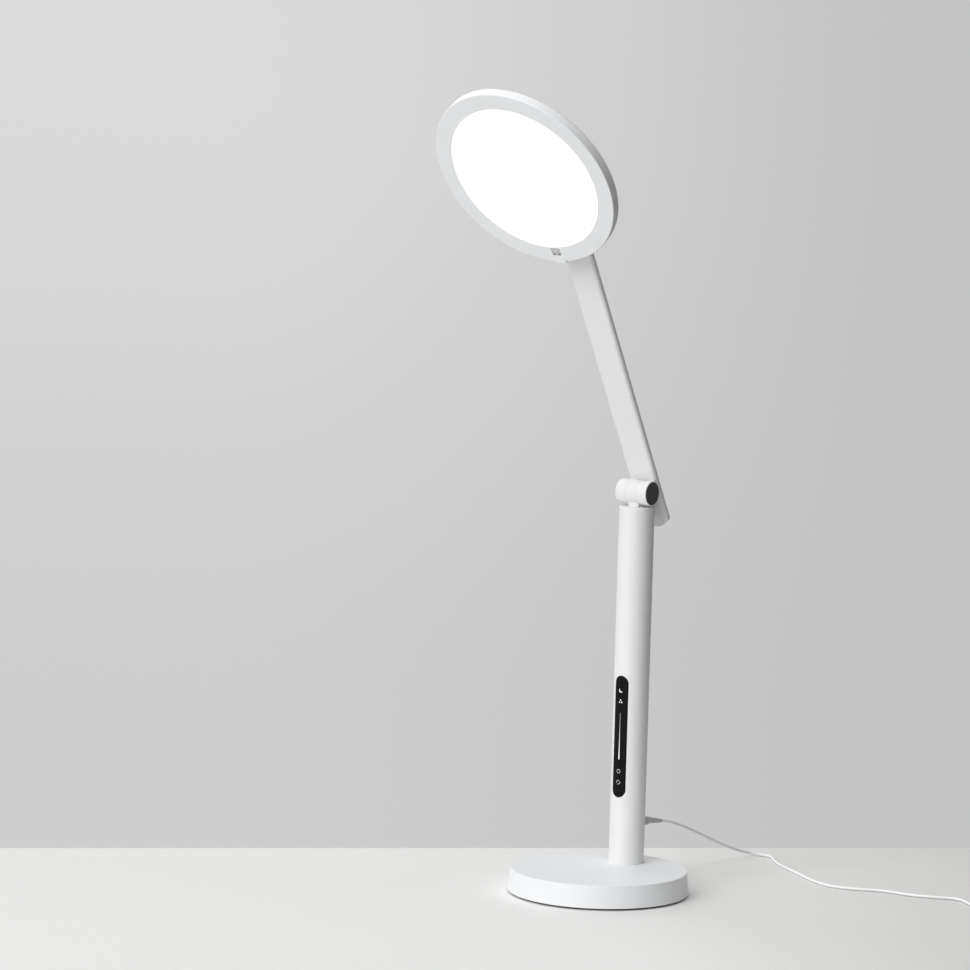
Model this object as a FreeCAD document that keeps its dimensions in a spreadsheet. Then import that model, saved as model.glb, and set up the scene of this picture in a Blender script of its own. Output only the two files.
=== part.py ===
import FreeCAD, Part
import math
import os
from types import SimpleNamespace

import Sketcher
from FreeCAD import Placement, Rotation, Vector

# Light therapy lamp: a round weighted base, a round pole with a touch panel, a flat arm
# and a round light panel.  Two like hinges, one at each end of the arm, turn about X.
# Millimetres.  +Z is up, the lamp shines toward -Y, and the origin is the middle of the
# foot pad's face.

os.makedirs("parts", exist_ok=True)
doc = FreeCAD.newDocument("TherapyLamp")

# ---------------------------------------------------------------- driving sizes
sizes = {
    # fits and gaps
    "fit_gap": 0.05,            # seats between fixed pieces
    "slip_gap": 0.2,            # loose covers
    "drive_wall": 0.3,          # metal left around a screw's hexagon drive
    "joint_gap": 0.05,          # running fits of the hinges, on the radius
    "seam_gap": 0.2,            # between a knuckle and the barrels beside it
    "arm_gap": 0.3,             # between a knuckle and the arm's face
    # base
    "base_radius": 90.0,
    "base_height": 24.5,        # top of the base above the table
    "base_wall": 2.5,
    "base_edge": 0.6,           # rounding of the top edge
    "base_draft": 1.6,          # top edge drawn in from the bottom edge
    "foot_inset": 4.0,          # edge of the base to edge of the foot pad
    "foot_thickness": 2.2,
    "plate_thickness": 2.4,
    "weight_gap": 4.5,          # wall of the base to the weight
    "weight_height": 13.0,
    "boss_inset": 16.0,         # edge of the base to the middles of the screws
    "boss_radius": 4.5,
    "cover_screw_radius": 1.5,
    "cover_screw_length": 12.0,
    "cover_screw_head": 3.0,
    # pole
    "pole_inset": 43.0,         # back edge of the base to the pole's axis
    "tube_radius": 17.75,
    "tube_wall": 1.5,
    "pole_top": 384.5,
    "cap_thickness": 2.0,
    "cap_lip": 10.0,
    "flange_height": 16.0,
    "flange_bolt_circle": 9.0,
    "flange_bolt_radius": 2.0,
    "flange_bolt_head": 3.8,
    "flange_bolt_head_height": 4.0,
    "flange_bolt_length": 23.0,
    "tube_screw_radius": 1.2,
    "tube_screw_head": 2.0,
    "tube_screw_length": 7.0,
    # touch panel
    "window_width": 15.7,
    "window_bottom": 92.4,
    "window_top": 215.5,
    "window_proud": 0.15,
    "window_gap": 0.1,
    "board_width": 14.0,
    "board_thickness": 1.6,
    "board_end": 4.0,           # window end to board end
    "board_depth": 12.0,        # back face of the board in front of the pole axis
    "frame_end": 10.0,          # board end to carrier end
    "frame_back": 6.0,          # back face of the carrier behind the pole axis
    "light_size": 2.2,
    "light_height": 0.8,
    "sign_bottom": 107.9,
    "sign_top": 200.7,
    "sign_pitch": 11.1,
    "slider_bottom": 132.0,
    "slider_pitch": 11.2,
    # supply socket and wires
    "socket_height": 62.3,
    "socket_radius": 4.9,
    "socket_length": 16.0,
    "socket_proud": 0.35,
    "socket_bore": 2.8,
    "socket_depth": 10.0,
    "socket_collar": 6.2,
    "collar_length": 2.0,
    "socket_pin": 1.0,
    "lead_radius": 1.2,
    "loom_radius": 1.3,
    "loom_gap": 1.0,            # end of the pole's loom below the axle
    # hinges
    "hinge_rise": 14.0,         # hinge axis above the plate that carries it
    "barrel_radius": 12.5,
    "barrel_half": 18.5,        # half the width over both barrels
    "barrel_edge": 0.6,
    "knuckle_half": 6.5,
    "lug_depth": 15.0,
    "lug_edge": 2.0,
    "tenon_radius": 6.0,
    "tenon_length": 7.5,
    "wire_bore": 2.2,
    "axle_radius": 4.0,
    "axle_bore": 2.0,
    "axle_end": 15.8,
    "washer_radius": 8.95,
    "washer_recess": 0.9,
    "spring_radius": 8.6,
    "spring_thickness": 1.2,
    "nut_corner": 8.0,          # centre to corner of the axle's hexagons
    "nut_height": 3.5,
    "head_thickness": 3.0,
    "cavity_radius": 9.6,
    "cavity_floor": 10.5,
    "cap_radius": 11.5,
    "cap_depth": 2.0,
    "cap_set_back": 0.2,
    "saddle_half": 7.0,
    "saddle_end": 14.6,
    "arm_screw_place": 9.9,
    "arm_screw_spread": 4.6,
    "arm_screw_radius": 1.5,
    "arm_screw_head": 2.7,
    "arm_screw_length": 11.2,
    "tenon_nut_corner": 9.8,
    "tenon_nut_height": 3.6,
    # arm
    "arm_tilt": 28.2,           # lean of the arm from upright, degrees
    "arm_span": 375.0,          # hinge axis to hinge axis
    "arm_width": 32.4,
    "arm_thickness": 7.8,
    "arm_edge": 3.5,
    "arm_wall": 1.3,
    "arm_tail": 39.0,           # tube end below the lower axis
    "arm_nose": 13.0,           # tube end above the upper axis
    "arch_height": 9.5,         # rise of the rounded arm ends
    "plug_inset": 0.15,
    "plug_reach": 5.0,
    # light head
    "head_nod": 7.8,            # turn of the head from parallel with the arm, degrees
    "head_radius": 97.9,
    "head_depth": 10.6,
    "face_width": 17.5,         # of the ring around the lit opening
    "face_thickness": 1.4,
    "skirt_wall": 2.0,
    "face_edge": 1.0,
    "rim_edge": 1.6,
    "diffuser_lap": 4.7,        # diffuser behind the edge of the opening
    "strip_wall": 1.5,
    "strip_wall_height": 8.0,
    "diffuser_thickness": 1.5,
    "guide_gap": 0.3,           # chips to the edge of the light guide
    "guide_thickness": 3.0,
    "reflector_thickness": 0.3,
    "heat_plate_thickness": 1.0,
    "strip_thickness": 0.5,
    "chip_length": 3.0,
    "chip_height": 1.8,
    "chip_depth": 1.1,
    "cover_thickness": 1.8,
    "rib_inset": 11.0,          # edge of the lit opening to the back cover's rib
    "rib_width": 2.0,
    "head_boss_radius": 2.6,
    "head_screw_radius": 1.1,
    "head_screw_head": 2.2,
    "head_screw_length": 7.0,
    "hub_radius": 45.0,
    "hub_depth": 6.9,
    "hub_wall": 2.0,
    "hub_edge": 3.0,
    "hub_boss_circle": 36.0,
    "hub_boss_radius": 3.0,
    "hub_screw_head_height": 1.2,
    "hub_screw_length": 5.5,
    "cover_hole": 13.0,
    "driver_width": 34.0,
    "driver_depth": 22.0,
    "driver_thickness": 1.4,
    "driver_place": 14.0,       # near edge of the driver board below the middle of the head
    "choke_radius": 4.4,
    "choke_gap": 0.7,
    "converter_place": 4.0,
    "converter_width": 9.0,
    "converter_height": 1.4,
    "sensor_offset": 3.3,       # sensor window to the right of the middle
    "sensor_width": 10.5,
    "sensor_tall": 8.5,
    "sensor_inset": 11.8,       # edge of the head to the middle of the sensor window
    "sensor_thickness": 1.0,
    "tab_offset": 4.8,          # grip tab to the right of the middle
    "tab_width": 12.4,
    "tab_tall": 7.8,
    "tab_out": 1.4,             # tab past the edge of the head
    "tab_thickness": 1.8,
    "tab_proud": 0.3,
    "tab_corner": 1.2,
    # cord
    "cord_radius": 1.5,
    "cord_lift": 0.1,           # cord above the table
    "plug_radius": 4.2,
    "plug_length": 18.0,
    "plug_pin_radius": 2.7,
    "plug_pin_gap": 0.5,        # end of the plug's pin to the bottom of the socket
    "boot_start": 3.4,
    "boot_end": 2.0,
    "boot_length": 24.0,
    "boot_droop": 9.0,          # degrees below level
    "adapter_width": 34.0,
    "adapter_length": 56.0,
    "adapter_height": 26.0,
    "adapter_edge": 4.0,
    "adapter_entry": 8.0,       # height of the cord at the adapter
    "gland_length": 20.0,
    "gland_wall": 0.4,          # at the thin end
    "gland_radius": 3.2,
    "blade_length": 16.5,
    "blade_width": 6.4,
    "blade_thickness": 1.5,
    "blade_spread": 6.35,
}


class Size:
    """A length and the spreadsheet formula that gives it."""

    def __init__(self, value, text):
        self.value = value
        self.text = text

    def __add__(self, other):
        return Size(self.value + number(other), "(%s + %s)" % (self.text, formula(other)))

    def __radd__(self, other):
        return Size(number(other) + self.value, "(%s + %s)" % (formula(other), self.text))

    def __sub__(self, other):
        return Size(self.value - number(other), "(%s - %s)" % (self.text, formula(other)))

    def __rsub__(self, other):
        return Size(number(other) - self.value, "(%s - %s)" % (formula(other), self.text))

    def __mul__(self, other):
        return Size(self.value * number(other), "(%s * %s)" % (self.text, formula(other)))

    def __rmul__(self, other):
        return Size(number(other) * self.value, "(%s * %s)" % (formula(other), self.text))

    def __truediv__(self, other):
        return Size(self.value / number(other), "(%s / %s)" % (self.text, formula(other)))

    def __neg__(self):
        return Size(-self.value, "(0 - %s)" % self.text)


def number(size):
    return size.value if isinstance(size, Size) else float(size)


def formula(size):
    return size.text if isinstance(size, Size) else "(%r)" % float(size)


def root(size):
    return Size(math.sqrt(size.value), "sqrt(%s)" % size.text)


sheet = doc.addObject("Spreadsheet::Sheet", "Sizes")
for row, (alias, value) in enumerate(sizes.items(), start=1):
    sheet.set("A%d" % row, alias)
    sheet.set("B%d" % row, str(value))
    sheet.setAlias("B%d" % row, alias)
doc.recompute()
s = SimpleNamespace(**{alias: Size(value, "Sizes." + alias) for alias, value in sizes.items()})

# ---------------------------------------------------------------- building helpers
upright = (0, 0, 1, 0)
to_right = (0, 1, 0, 90)
to_back = (1, 0, 0, -90)
to_front = (1, 0, 0, 90)
downward = (1, 0, 0, 180)
local_place = {}
nodes = []


def placed(at, turn=upright):
    """Formula of a placement: a point, then a turn about an axis in degrees."""
    x, y, z = (formula(value) for value in at)
    ax, ay, az, angle = (formula(value) for value in turn)
    return ("create(<<placement>>; create(<<vector>>; %s; %s; %s); "
            "create(<<rotation>>; create(<<vector>>; %s; %s; %s); %s))" % (x, y, z, ax, ay, az, angle))


def shift(obj, at=(0, 0, 0), turn=upright):
    local_place[obj.Name] = placed(at, turn)
    obj.setExpression("Placement", local_place[obj.Name])
    return obj


def bind(obj, **properties):
    for name, size in properties.items():
        obj.setExpression(name, formula(size))
    return obj


def cylinder(radius, height, at=(0, 0, 0), turn=upright):
    obj = bind(doc.addObject("Part::Cylinder", "rod"), Radius=radius, Height=height)
    return shift(obj, at, turn)


def cone(start, end, height, at=(0, 0, 0), turn=upright):
    obj = bind(doc.addObject("Part::Cone", "taper"), Radius1=start, Radius2=end, Height=height)
    return shift(obj, at, turn)


def box(low, high):
    obj = doc.addObject("Part::Box", "block")
    bind(obj, Length=high[0] - low[0], Width=high[1] - low[1], Height=high[2] - low[2])
    return shift(obj, low)


def hexagon(corner, height, at=(0, 0, 0), turn=upright):
    obj = bind(doc.addObject("Part::Prism", "hexagon"), Circumradius=corner, Height=height)
    return shift(obj, at, turn)


def fuse(*pieces):
    obj = doc.addObject("Part::MultiFuse", "joined")
    obj.Shapes = list(pieces)
    obj.Refine = True
    return obj


def cut(base, *tools):
    obj = doc.addObject("Part::Cut", "cut")
    obj.Base = base
    obj.Tool = tools[0] if len(tools) == 1 else fuse(*tools)
    return obj


def common(first, second):
    obj = doc.addObject("Part::Common", "shared")
    obj.Base = first
    obj.Tool = second
    return obj


def group(pieces):
    obj = doc.addObject("Part::Compound", "group")
    obj.Links = pieces
    return obj


def ring(outside, inside, height, at=(0, 0, 0), turn=upright):
    return cut(cylinder(outside, height, at, turn), cylinder(inside, height, at, turn))


def rounded(base, radius, wanted):
    """Fillet on the edges that the test picks."""
    doc.recompute()
    obj = doc.addObject("Part::Fillet", "rounded")
    obj.Base = base
    picked = [index for index, edge in enumerate(base.Shape.Edges, start=1) if wanted(edge)]
    obj.Edges = [(index, number(radius), number(radius)) for index in picked]
    return obj


def runs_along(axis):
    """Test for straight edges parallel to an axis."""
    def test(edge):
        if not isinstance(edge.Curve, Part.Line):
            return False
        return abs(edge.tangentAt(edge.FirstParameter).dot(axis)) > 0.999
    return test


def circle_at(radius, **place):
    """Test for full circles of a radius whose centre has the given coordinate."""
    def test(edge):
        if not isinstance(edge.Curve, Part.Circle) or abs(edge.Curve.Radius - number(radius)) > 0.01:
            return False
        centre = edge.Curve.Center
        return all(abs(getattr(centre, axis) - number(value)) < 0.01 for axis, value in place.items())
    return test


def origin_feature(body, role):
    return next(feature for feature in body.Origin.OriginFeatures if feature.Role == role)


def new_sketch(body, role, height=None):
    sketch = body.newObject("Sketcher::SketchObject", "sketch")
    sketch.AttachmentSupport = (origin_feature(body, role), [""])
    sketch.MapMode = "FlatFace"
    if height is not None:
        bind(sketch, **{"AttachmentOffset.Base.z": height})
    return sketch


def draw_outline(sketch, corners):
    """Closed outline through the corners, each held by its two distances from the origin."""
    points = [Vector(number(x), number(y), 0) for x, y in corners]
    for start, end in zip(points, points[1:] + points[:1]):
        sketch.addGeometry(Part.LineSegment(start, end), False)
    for line in range(len(points)):
        sketch.addConstraint(Sketcher.Constraint("Coincident", line, 2, (line + 1) % len(points), 1))
    for line, corner in enumerate(corners):
        for kind, size, other_axis in zip(("DistanceX", "DistanceY"), corner, (-2, -1)):
            if number(size) == 0:
                sketch.addConstraint(Sketcher.Constraint("PointOnObject", line, 1, other_axis))
                continue
            index = sketch.addConstraint(Sketcher.Constraint(kind, -1, 1, line, 1, number(size)))
            sketch.setExpression("Constraints[%d]" % index, formula(size))


def draw_circle(sketch, radius, x=0, y=0):
    centre = Vector(number(x), number(y), 0)
    circle = sketch.addGeometry(Part.Circle(centre, Vector(0, 0, 1), number(radius)), False)
    index = sketch.addConstraint(Sketcher.Constraint("Radius", circle, number(radius)))
    sketch.setExpression("Constraints[%d]" % index, formula(radius))
    for kind, size, other_axis in (("DistanceX", x, -2), ("DistanceY", y, -1)):
        if number(size) == 0:
            sketch.addConstraint(Sketcher.Constraint("PointOnObject", circle, 3, other_axis))
            continue
        index = sketch.addConstraint(Sketcher.Constraint(kind, -1, 1, circle, 3, number(size)))
        sketch.setExpression("Constraints[%d]" % index, formula(size))


def turned_body(name, corners):
    """Body made by turning an outline of (radius, height) corners about Z."""
    body = doc.addObject("PartDesign::Body", name)
    sketch = new_sketch(body, "XZ_Plane")
    draw_outline(sketch, corners)
    turning = body.newObject("PartDesign::Revolution", "turning")
    turning.Profile = sketch
    turning.ReferenceAxis = (sketch, ["V_Axis"])
    turning.Angle = 360
    doc.recompute()
    return body


def round_body(body, radius, wanted):
    """Fillet on a body's edges that the test picks."""
    feature = body.Tip
    picked = ["Edge%d" % index for index, edge in enumerate(feature.Shape.Edges, start=1) if wanted(edge)]
    fillet = body.newObject("PartDesign::Fillet", "fillet")
    fillet.Base = (feature, picked)
    bind(fillet, Radius=radius)
    doc.recompute()
    return body


def countersunk(head, shank, length, at, turn, extra=0):
    """Screw, or the hole for it: the flat head's face at the point, the shank along the turned Z."""
    rise = head - shank
    body = fuse(cone(head + extra, shank + extra, rise), cylinder(shank + extra, length))
    if extra:
        return shift(body, at, turn)
    return shift(cut(body, hexagon(shank - s.drive_wall, rise)), at, turn)


def finish(label, obj, frame=None):
    """Name a sub-part, put it in its frame and list it for export."""
    obj.Label = label
    own = local_place.get(obj.Name)
    if frame:
        obj.setExpression("Placement", frame + " * " + own if own else frame)
    nodes.append(obj)
    return obj


def around(count, radius, start=0.0):
    """Points evenly spaced on a circle, as offsets along X and Y."""
    for step in range(count):
        angle = math.radians(start + 360.0 * step / count)
        yield radius * math.cos(angle), radius * math.sin(angle)


# ---------------------------------------------------------------- frames
pole_back = s.base_radius - s.pole_inset
axis_height = s.pole_top + s.hinge_rise
pole_frame = placed((0, pole_back, 0))
lower_frame = placed((0, pole_back, axis_height))
arm_frame = placed((0, pole_back, axis_height), (1, 0, 0, s.arm_tilt))
# In the head's frame X is right, Y points down the face, and Z points out of the back.
head_frame = arm_frame + " * " + placed((0, 0, s.arm_span), (1, 0, 0, s.head_nod - 90))

# ---------------------------------------------------------------- base
plate_top = s.foot_thickness + s.plate_thickness
weight_top = plate_top + s.weight_height
shell_roof = s.base_height - s.base_wall
shell_inside = s.base_radius - s.base_wall
base_top_radius = s.base_radius - s.base_draft
tube_inside = s.tube_radius - s.tube_wall
boss_places = list(around(4, s.base_radius - s.boss_inset, 45))
bolt_places = [(x, pole_back + y) for x, y in around(3, s.flange_bolt_circle, 90)]

finish("foot_pad", cylinder(s.base_radius - s.foot_inset, s.foot_thickness))


def base_screws(extra=0):
    return [countersunk(s.cover_screw_head, s.cover_screw_radius, s.cover_screw_length,
                        (x, y, s.foot_thickness), upright, extra) for x, y in boss_places]


plate_disc = cylinder(shell_inside - s.slip_gap, s.plate_thickness, (0, 0, s.foot_thickness))
finish("base_plate", cut(plate_disc, *base_screws(s.fit_gap)))
finish("base_screws", group(base_screws()))

weight_holes = [cylinder(s.boss_radius + s.slip_gap, s.weight_height, (x, y, plate_top))
                for x, y in boss_places]
for x, y in bolt_places:
    weight_holes += [
        cylinder(s.flange_bolt_head + s.slip_gap, s.flange_bolt_head_height, (x, y, plate_top)),
        cylinder(s.flange_bolt_radius + s.fit_gap, s.weight_height, (x, y, plate_top))]
weight_disc = cylinder(shell_inside - s.weight_gap, s.weight_height, (0, 0, plate_top))
finish("base_weight", cut(weight_disc, *weight_holes))

shell_body = turned_body("shell_body", [
    (0, shell_roof),
    (shell_inside, shell_roof),
    (shell_inside, s.foot_thickness),
    (s.base_radius, s.foot_thickness),
    (base_top_radius, s.base_height),
    (0, s.base_height)])
round_body(shell_body, s.base_edge, circle_at(base_top_radius, z=s.base_height))
shell_bosses = [cut(cylinder(s.boss_radius, shell_roof - plate_top + s.fit_gap, (x, y, plate_top)),
                    cylinder(s.cover_screw_radius, s.cover_screw_length, (x, y, s.foot_thickness)))
                for x, y in boss_places]
tube_hole = cylinder(s.tube_radius + s.slip_gap / 2, s.base_height, (0, pole_back, 0))
finish("base_shell", cut(fuse(shell_body, *shell_bosses), tube_hole))

# ---------------------------------------------------------------- pole foot
tube_screw_height = weight_top + (shell_roof - weight_top) / 2
tube_screw_places = [((-s.tube_radius, 0, tube_screw_height), (0, 1, 0, 90)),
                     ((s.tube_radius, 0, tube_screw_height), (0, 1, 0, -90))]


def tube_screws(extra=0):
    return [countersunk(s.tube_screw_head, s.tube_screw_radius, s.tube_screw_length, at, turn, extra)
            for at, turn in tube_screw_places]


flange_holes = [cylinder(s.flange_bolt_radius, s.flange_height, (x, y, weight_top))
                for x, y in around(3, s.flange_bolt_circle, 90)]
flange_disc = cylinder(tube_inside - s.fit_gap, s.flange_height, (0, 0, weight_top))
finish("pole_flange", cut(flange_disc, *flange_holes, *tube_screws(s.fit_gap)), pole_frame)

flange_bolts = []
for x, y in bolt_places:
    bolt = fuse(cylinder(s.flange_bolt_head, s.flange_bolt_head_height, (x, y, plate_top)),
                cylinder(s.flange_bolt_radius, s.flange_bolt_length, (x, y, plate_top)))
    drive = hexagon(s.flange_bolt_radius, s.flange_bolt_head_height / 2, (x, y, plate_top))
    flange_bolts.append(cut(bolt, drive))
finish("flange_bolts", group(flange_bolts))
finish("tube_screws", group(tube_screws()), pole_frame)

# ---------------------------------------------------------------- pole tube and touch panel
tube_top = s.pole_top - s.cap_thickness


def stadium(width, bottom, top, depth):
    """Upright block with round ends, from the pole axis toward the front."""
    half = width / 2
    low = (-half, -depth, bottom + half)
    high = (half, 0, top - half)
    ends = [cylinder(half, depth, (0, 0, height), to_front) for height in (bottom + half, top - half)]
    return fuse(box(low, high), *ends)


tube_body = doc.addObject("PartDesign::Body", "tube_body")
tube_sketch = new_sketch(tube_body, "XY_Plane", weight_top)
draw_circle(tube_sketch, s.tube_radius)
draw_circle(tube_sketch, tube_inside)
tube_pad = tube_body.newObject("PartDesign::Pad", "tube_pad")
tube_pad.Profile = tube_sketch
bind(tube_pad, Length=tube_top - weight_top)
doc.recompute()

panel_reach = s.tube_radius + s.tube_wall
panel_hole = stadium(s.window_width, s.window_bottom, s.window_top, panel_reach)
socket_hole = cylinder(s.socket_radius + s.fit_gap, panel_reach, (0, 0, s.socket_height), to_back)
finish("pole_tube", cut(tube_body, panel_hole, socket_hole, *tube_screws(s.fit_gap)), pole_frame)

window_plug = stadium(s.window_width - 2 * s.window_gap, s.window_bottom + s.window_gap,
                      s.window_top - s.window_gap, panel_reach)
window_ring = ring(s.tube_radius + s.window_proud, tube_inside, s.window_top - s.window_bottom,
                   (0, 0, s.window_bottom))
finish("control_window", common(window_ring, window_plug), pole_frame)

board_bottom = s.window_bottom + s.board_end
board_top = s.window_top - s.board_end
frame_bottom = board_bottom - s.frame_end
frame_top = board_top + s.frame_end
frame_outside = tube_inside - s.fit_gap
frame_disc = cylinder(frame_outside, frame_top - frame_bottom, (0, 0, frame_bottom))
frame_block = box((-frame_outside, -frame_outside, frame_bottom), (frame_outside, s.frame_back, frame_top))
board_half = s.board_width / 2
board_front = -s.board_depth - s.board_thickness
pocket = box((-board_half - s.fit_gap, -frame_outside, board_bottom - s.fit_gap),
             (board_half + s.fit_gap, -s.board_depth, board_top + s.fit_gap))
wire_hole_depth = s.frame_end / 2
lead_hole = cylinder(s.lead_radius + s.fit_gap, wire_hole_depth, (0, s.frame_back / 2, frame_bottom))
loom_hole = cylinder(s.loom_radius + s.fit_gap, wire_hole_depth, (0, 0, frame_top - wire_hole_depth))
frame_shape = cut(common(frame_disc, frame_block), pocket, lead_hole, loom_hole)
finish("board_carrier", frame_shape, pole_frame)

# One small light behind each sign of the panel, and five behind its slider.
light_heights = [s.sign_bottom + s.sign_pitch * step for step in range(2)]
light_heights += [s.slider_bottom + s.slider_pitch * step for step in range(5)]
light_heights += [s.sign_top - s.sign_pitch * step for step in range(2)]
light_half = s.light_size / 2
board_pieces = [box((-board_half, board_front, board_bottom), (board_half, -s.board_depth, board_top))]
for height in light_heights:
    board_pieces.append(box((-light_half, board_front - s.light_height, height - light_half),
                            (light_half, board_front, height + light_half)))
finish("control_board", group(board_pieces), pole_frame)

# ---------------------------------------------------------------- supply socket and pole wires
socket_face = s.tube_radius + s.socket_proud
socket_start = socket_face - s.socket_length
collar_place = root(tube_inside * tube_inside - s.socket_collar * s.socket_collar) - s.fit_gap
socket_body = fuse(
    cylinder(s.socket_radius, s.socket_length, (0, socket_start, s.socket_height), to_back),
    cylinder(s.socket_collar, s.collar_length, (0, collar_place - s.collar_length, s.socket_height), to_back))
socket_bore = ring(s.socket_bore, s.socket_pin, s.socket_depth,
                   (0, socket_face - s.socket_depth, s.socket_height), to_back)
finish("dc_socket", cut(socket_body, socket_bore), pole_frame)

lead_start = s.socket_height + s.socket_radius
loom_start = frame_top - wire_hole_depth
loom_end = axis_height - s.axle_radius - s.loom_gap
finish("pole_wires", group([
    cylinder(s.lead_radius, frame_bottom + wire_hole_depth - lead_start, (0, s.frame_back / 2, lead_start)),
    cylinder(s.loom_radius, loom_end - loom_start, (0, 0, loom_start))]), pole_frame)

# ---------------------------------------------------------------- pole cap
lip_outside = tube_inside - s.fit_gap
lip_inside = lip_outside - s.tube_wall
cap_body = turned_body("pole_cap", [
    (s.tenon_radius + s.fit_gap, tube_top),
    (lip_inside, tube_top),
    (lip_inside, tube_top - s.cap_lip),
    (lip_outside, tube_top - s.cap_lip),
    (lip_outside, tube_top),
    (s.tube_radius, tube_top),
    (s.tube_radius, s.pole_top),
    (s.tenon_radius + s.fit_gap, s.pole_top)])
round_body(cap_body, s.cap_thickness / 4, circle_at(s.tube_radius, z=s.pole_top))
finish("pole_cap", cap_body, pole_frame)

# ---------------------------------------------------------------- hinges
# In a hinge's own frame the axis is X, and the arm's face lies behind it, across +Y.
arm_face = s.barrel_radius + s.arm_gap
arm_back = arm_face + s.arm_thickness
barrel_start = s.knuckle_half + s.seam_gap
washer_floor = s.knuckle_half - s.washer_recess
bore_radius = s.axle_radius + s.joint_gap
cap_outside = s.barrel_half - s.cap_set_back
cap_floor = cap_outside - s.cap_depth


def knuckle(label, frame):
    """Middle leaf of a hinge: a lug that stands on its plate and a threaded tenon below it."""
    lug = rounded(box((-s.knuckle_half, -s.lug_depth / 2, -s.hinge_rise),
                      (s.knuckle_half, s.lug_depth / 2, 0)),
                  s.lug_edge, runs_along(Vector(0, 0, 1)))
    drum = cylinder(s.barrel_radius, 2 * s.knuckle_half, (-s.knuckle_half, 0, 0), to_right)
    tenon_bottom = -s.hinge_rise - s.tenon_length
    tenon = cylinder(s.tenon_radius, s.tenon_length + s.hinge_rise / 2, (0, 0, tenon_bottom))
    bore = cylinder(bore_radius, 2 * s.knuckle_half, (-s.knuckle_half, 0, 0), to_right)
    wires = cylinder(s.wire_bore, s.tenon_length + s.hinge_rise, (0, 0, tenon_bottom))
    recesses = [cylinder(s.washer_radius + s.joint_gap, s.washer_recess, (start, 0, 0), to_right)
                for start in (-s.knuckle_half, washer_floor)]
    return finish(label, cut(fuse(drum, lug, tenon), bore, wires, *recesses), frame)


def tenon_nut(label, frame, wall):
    bottom = -s.hinge_rise - wall - s.tenon_nut_height
    nut = hexagon(s.tenon_nut_corner, s.tenon_nut_height, (0, 0, bottom))
    hole = cylinder(s.tenon_radius + s.fit_gap, s.tenon_nut_height, (0, 0, bottom))
    return finish(label, cut(nut, hole), frame)


def arm_screws(side, height, extra=0):
    """Screws through the arm into one barrel."""
    return [countersunk(s.arm_screw_head, s.arm_screw_radius, s.arm_screw_length,
                        (side * s.arm_screw_place, arm_back, height + spread), to_front, extra)
            for spread in (-s.arm_screw_spread, s.arm_screw_spread)]


def wire_way(height):
    """Hole from the left barrel's hollow into the arm."""
    start = (-s.arm_screw_place, 0, height)
    return cylinder(s.loom_radius + s.fit_gap, arm_face + s.arm_wall, start, to_back)


def along_axis(side, near, far):
    """Where a length that spans near to far from the middle starts, on either side."""
    return near if side > 0 else -far


def barrel(label, side, height):
    """Outer leaf of a hinge, with the saddle that carries the arm."""
    length = s.barrel_half - barrel_start
    start = along_axis(side, barrel_start, s.barrel_half)
    drum = cylinder(s.barrel_radius, length, (start, 0, height), to_right)
    end = side * s.barrel_half
    drum = rounded(drum, s.barrel_edge, circle_at(s.barrel_radius, x=end))
    saddle_start = along_axis(side, barrel_start, s.saddle_end)
    saddle = box((saddle_start, 0, height - s.saddle_half),
                 (saddle_start + s.saddle_end - barrel_start, arm_face, height + s.saddle_half))
    tools = [
        cylinder(bore_radius, length, (start, 0, height), to_right),
        cylinder(s.cavity_radius, s.barrel_half - s.cavity_floor,
                 (along_axis(side, s.cavity_floor, s.barrel_half), 0, height), to_right),
        cylinder(s.cap_radius + s.fit_gap, s.barrel_half - cap_floor,
                 (along_axis(side, cap_floor, s.barrel_half), 0, height), to_right)]
    tools += arm_screws(side, height, s.fit_gap)
    if side < 0:
        tools.append(wire_way(height))
    return finish(label, cut(fuse(drum, saddle), *tools), arm_frame)


def hinge_hardware(name, height):
    """Everything on the axle of one hinge, from the bolt's head on the left to its nut."""
    head = hexagon(s.nut_corner, s.head_thickness, (-s.cavity_floor - s.head_thickness, 0, height), to_right)
    shank = cylinder(s.axle_radius, s.cavity_floor + s.axle_end, (-s.cavity_floor, 0, height), to_right)
    bore = cylinder(s.axle_bore, 2 * s.barrel_half, (-s.barrel_half, 0, height), to_right)
    cross = cylinder(s.axle_bore, 2 * s.axle_radius, (0, 0, height - 2 * s.axle_radius))
    finish(name + "_axle", cut(fuse(head, shank), bore, cross), arm_frame)

    washer_start = washer_floor + s.joint_gap
    washers = [ring(s.washer_radius, bore_radius, barrel_start - washer_start,
                    (along_axis(side, washer_start, barrel_start), 0, height), to_right) for side in (-1, 1)]
    finish(name + "_friction_washers", group(washers), arm_frame)

    spring = cone(s.spring_radius, s.spring_radius - s.spring_thickness, s.spring_thickness,
                  (s.cavity_floor, 0, height), to_right)
    spring_hole = cylinder(bore_radius, s.spring_thickness, (s.cavity_floor, 0, height), to_right)
    finish(name + "_spring_washer", cut(spring, spring_hole), arm_frame)

    nut_start = s.cavity_floor + s.spring_thickness
    nut = hexagon(s.nut_corner, s.nut_height, (nut_start, 0, height), to_right)
    nut_hole = cylinder(bore_radius, s.nut_height, (nut_start, 0, height), to_right)
    finish(name + "_axle_nut", cut(nut, nut_hole), arm_frame)

    caps = []
    for side in (-1, 1):
        cap_start = (along_axis(side, cap_floor, cap_outside), 0, height)
        cap = cylinder(s.cap_radius, s.cap_depth, cap_start, to_right)
        caps.append(rounded(cap, s.cap_set_back, circle_at(s.cap_radius, x=side * cap_outside)))
    finish(name + "_end_caps", group(caps), arm_frame)
    finish(name + "_arm_screws", group(arm_screws(-1, height) + arm_screws(1, height)), arm_frame)


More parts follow.
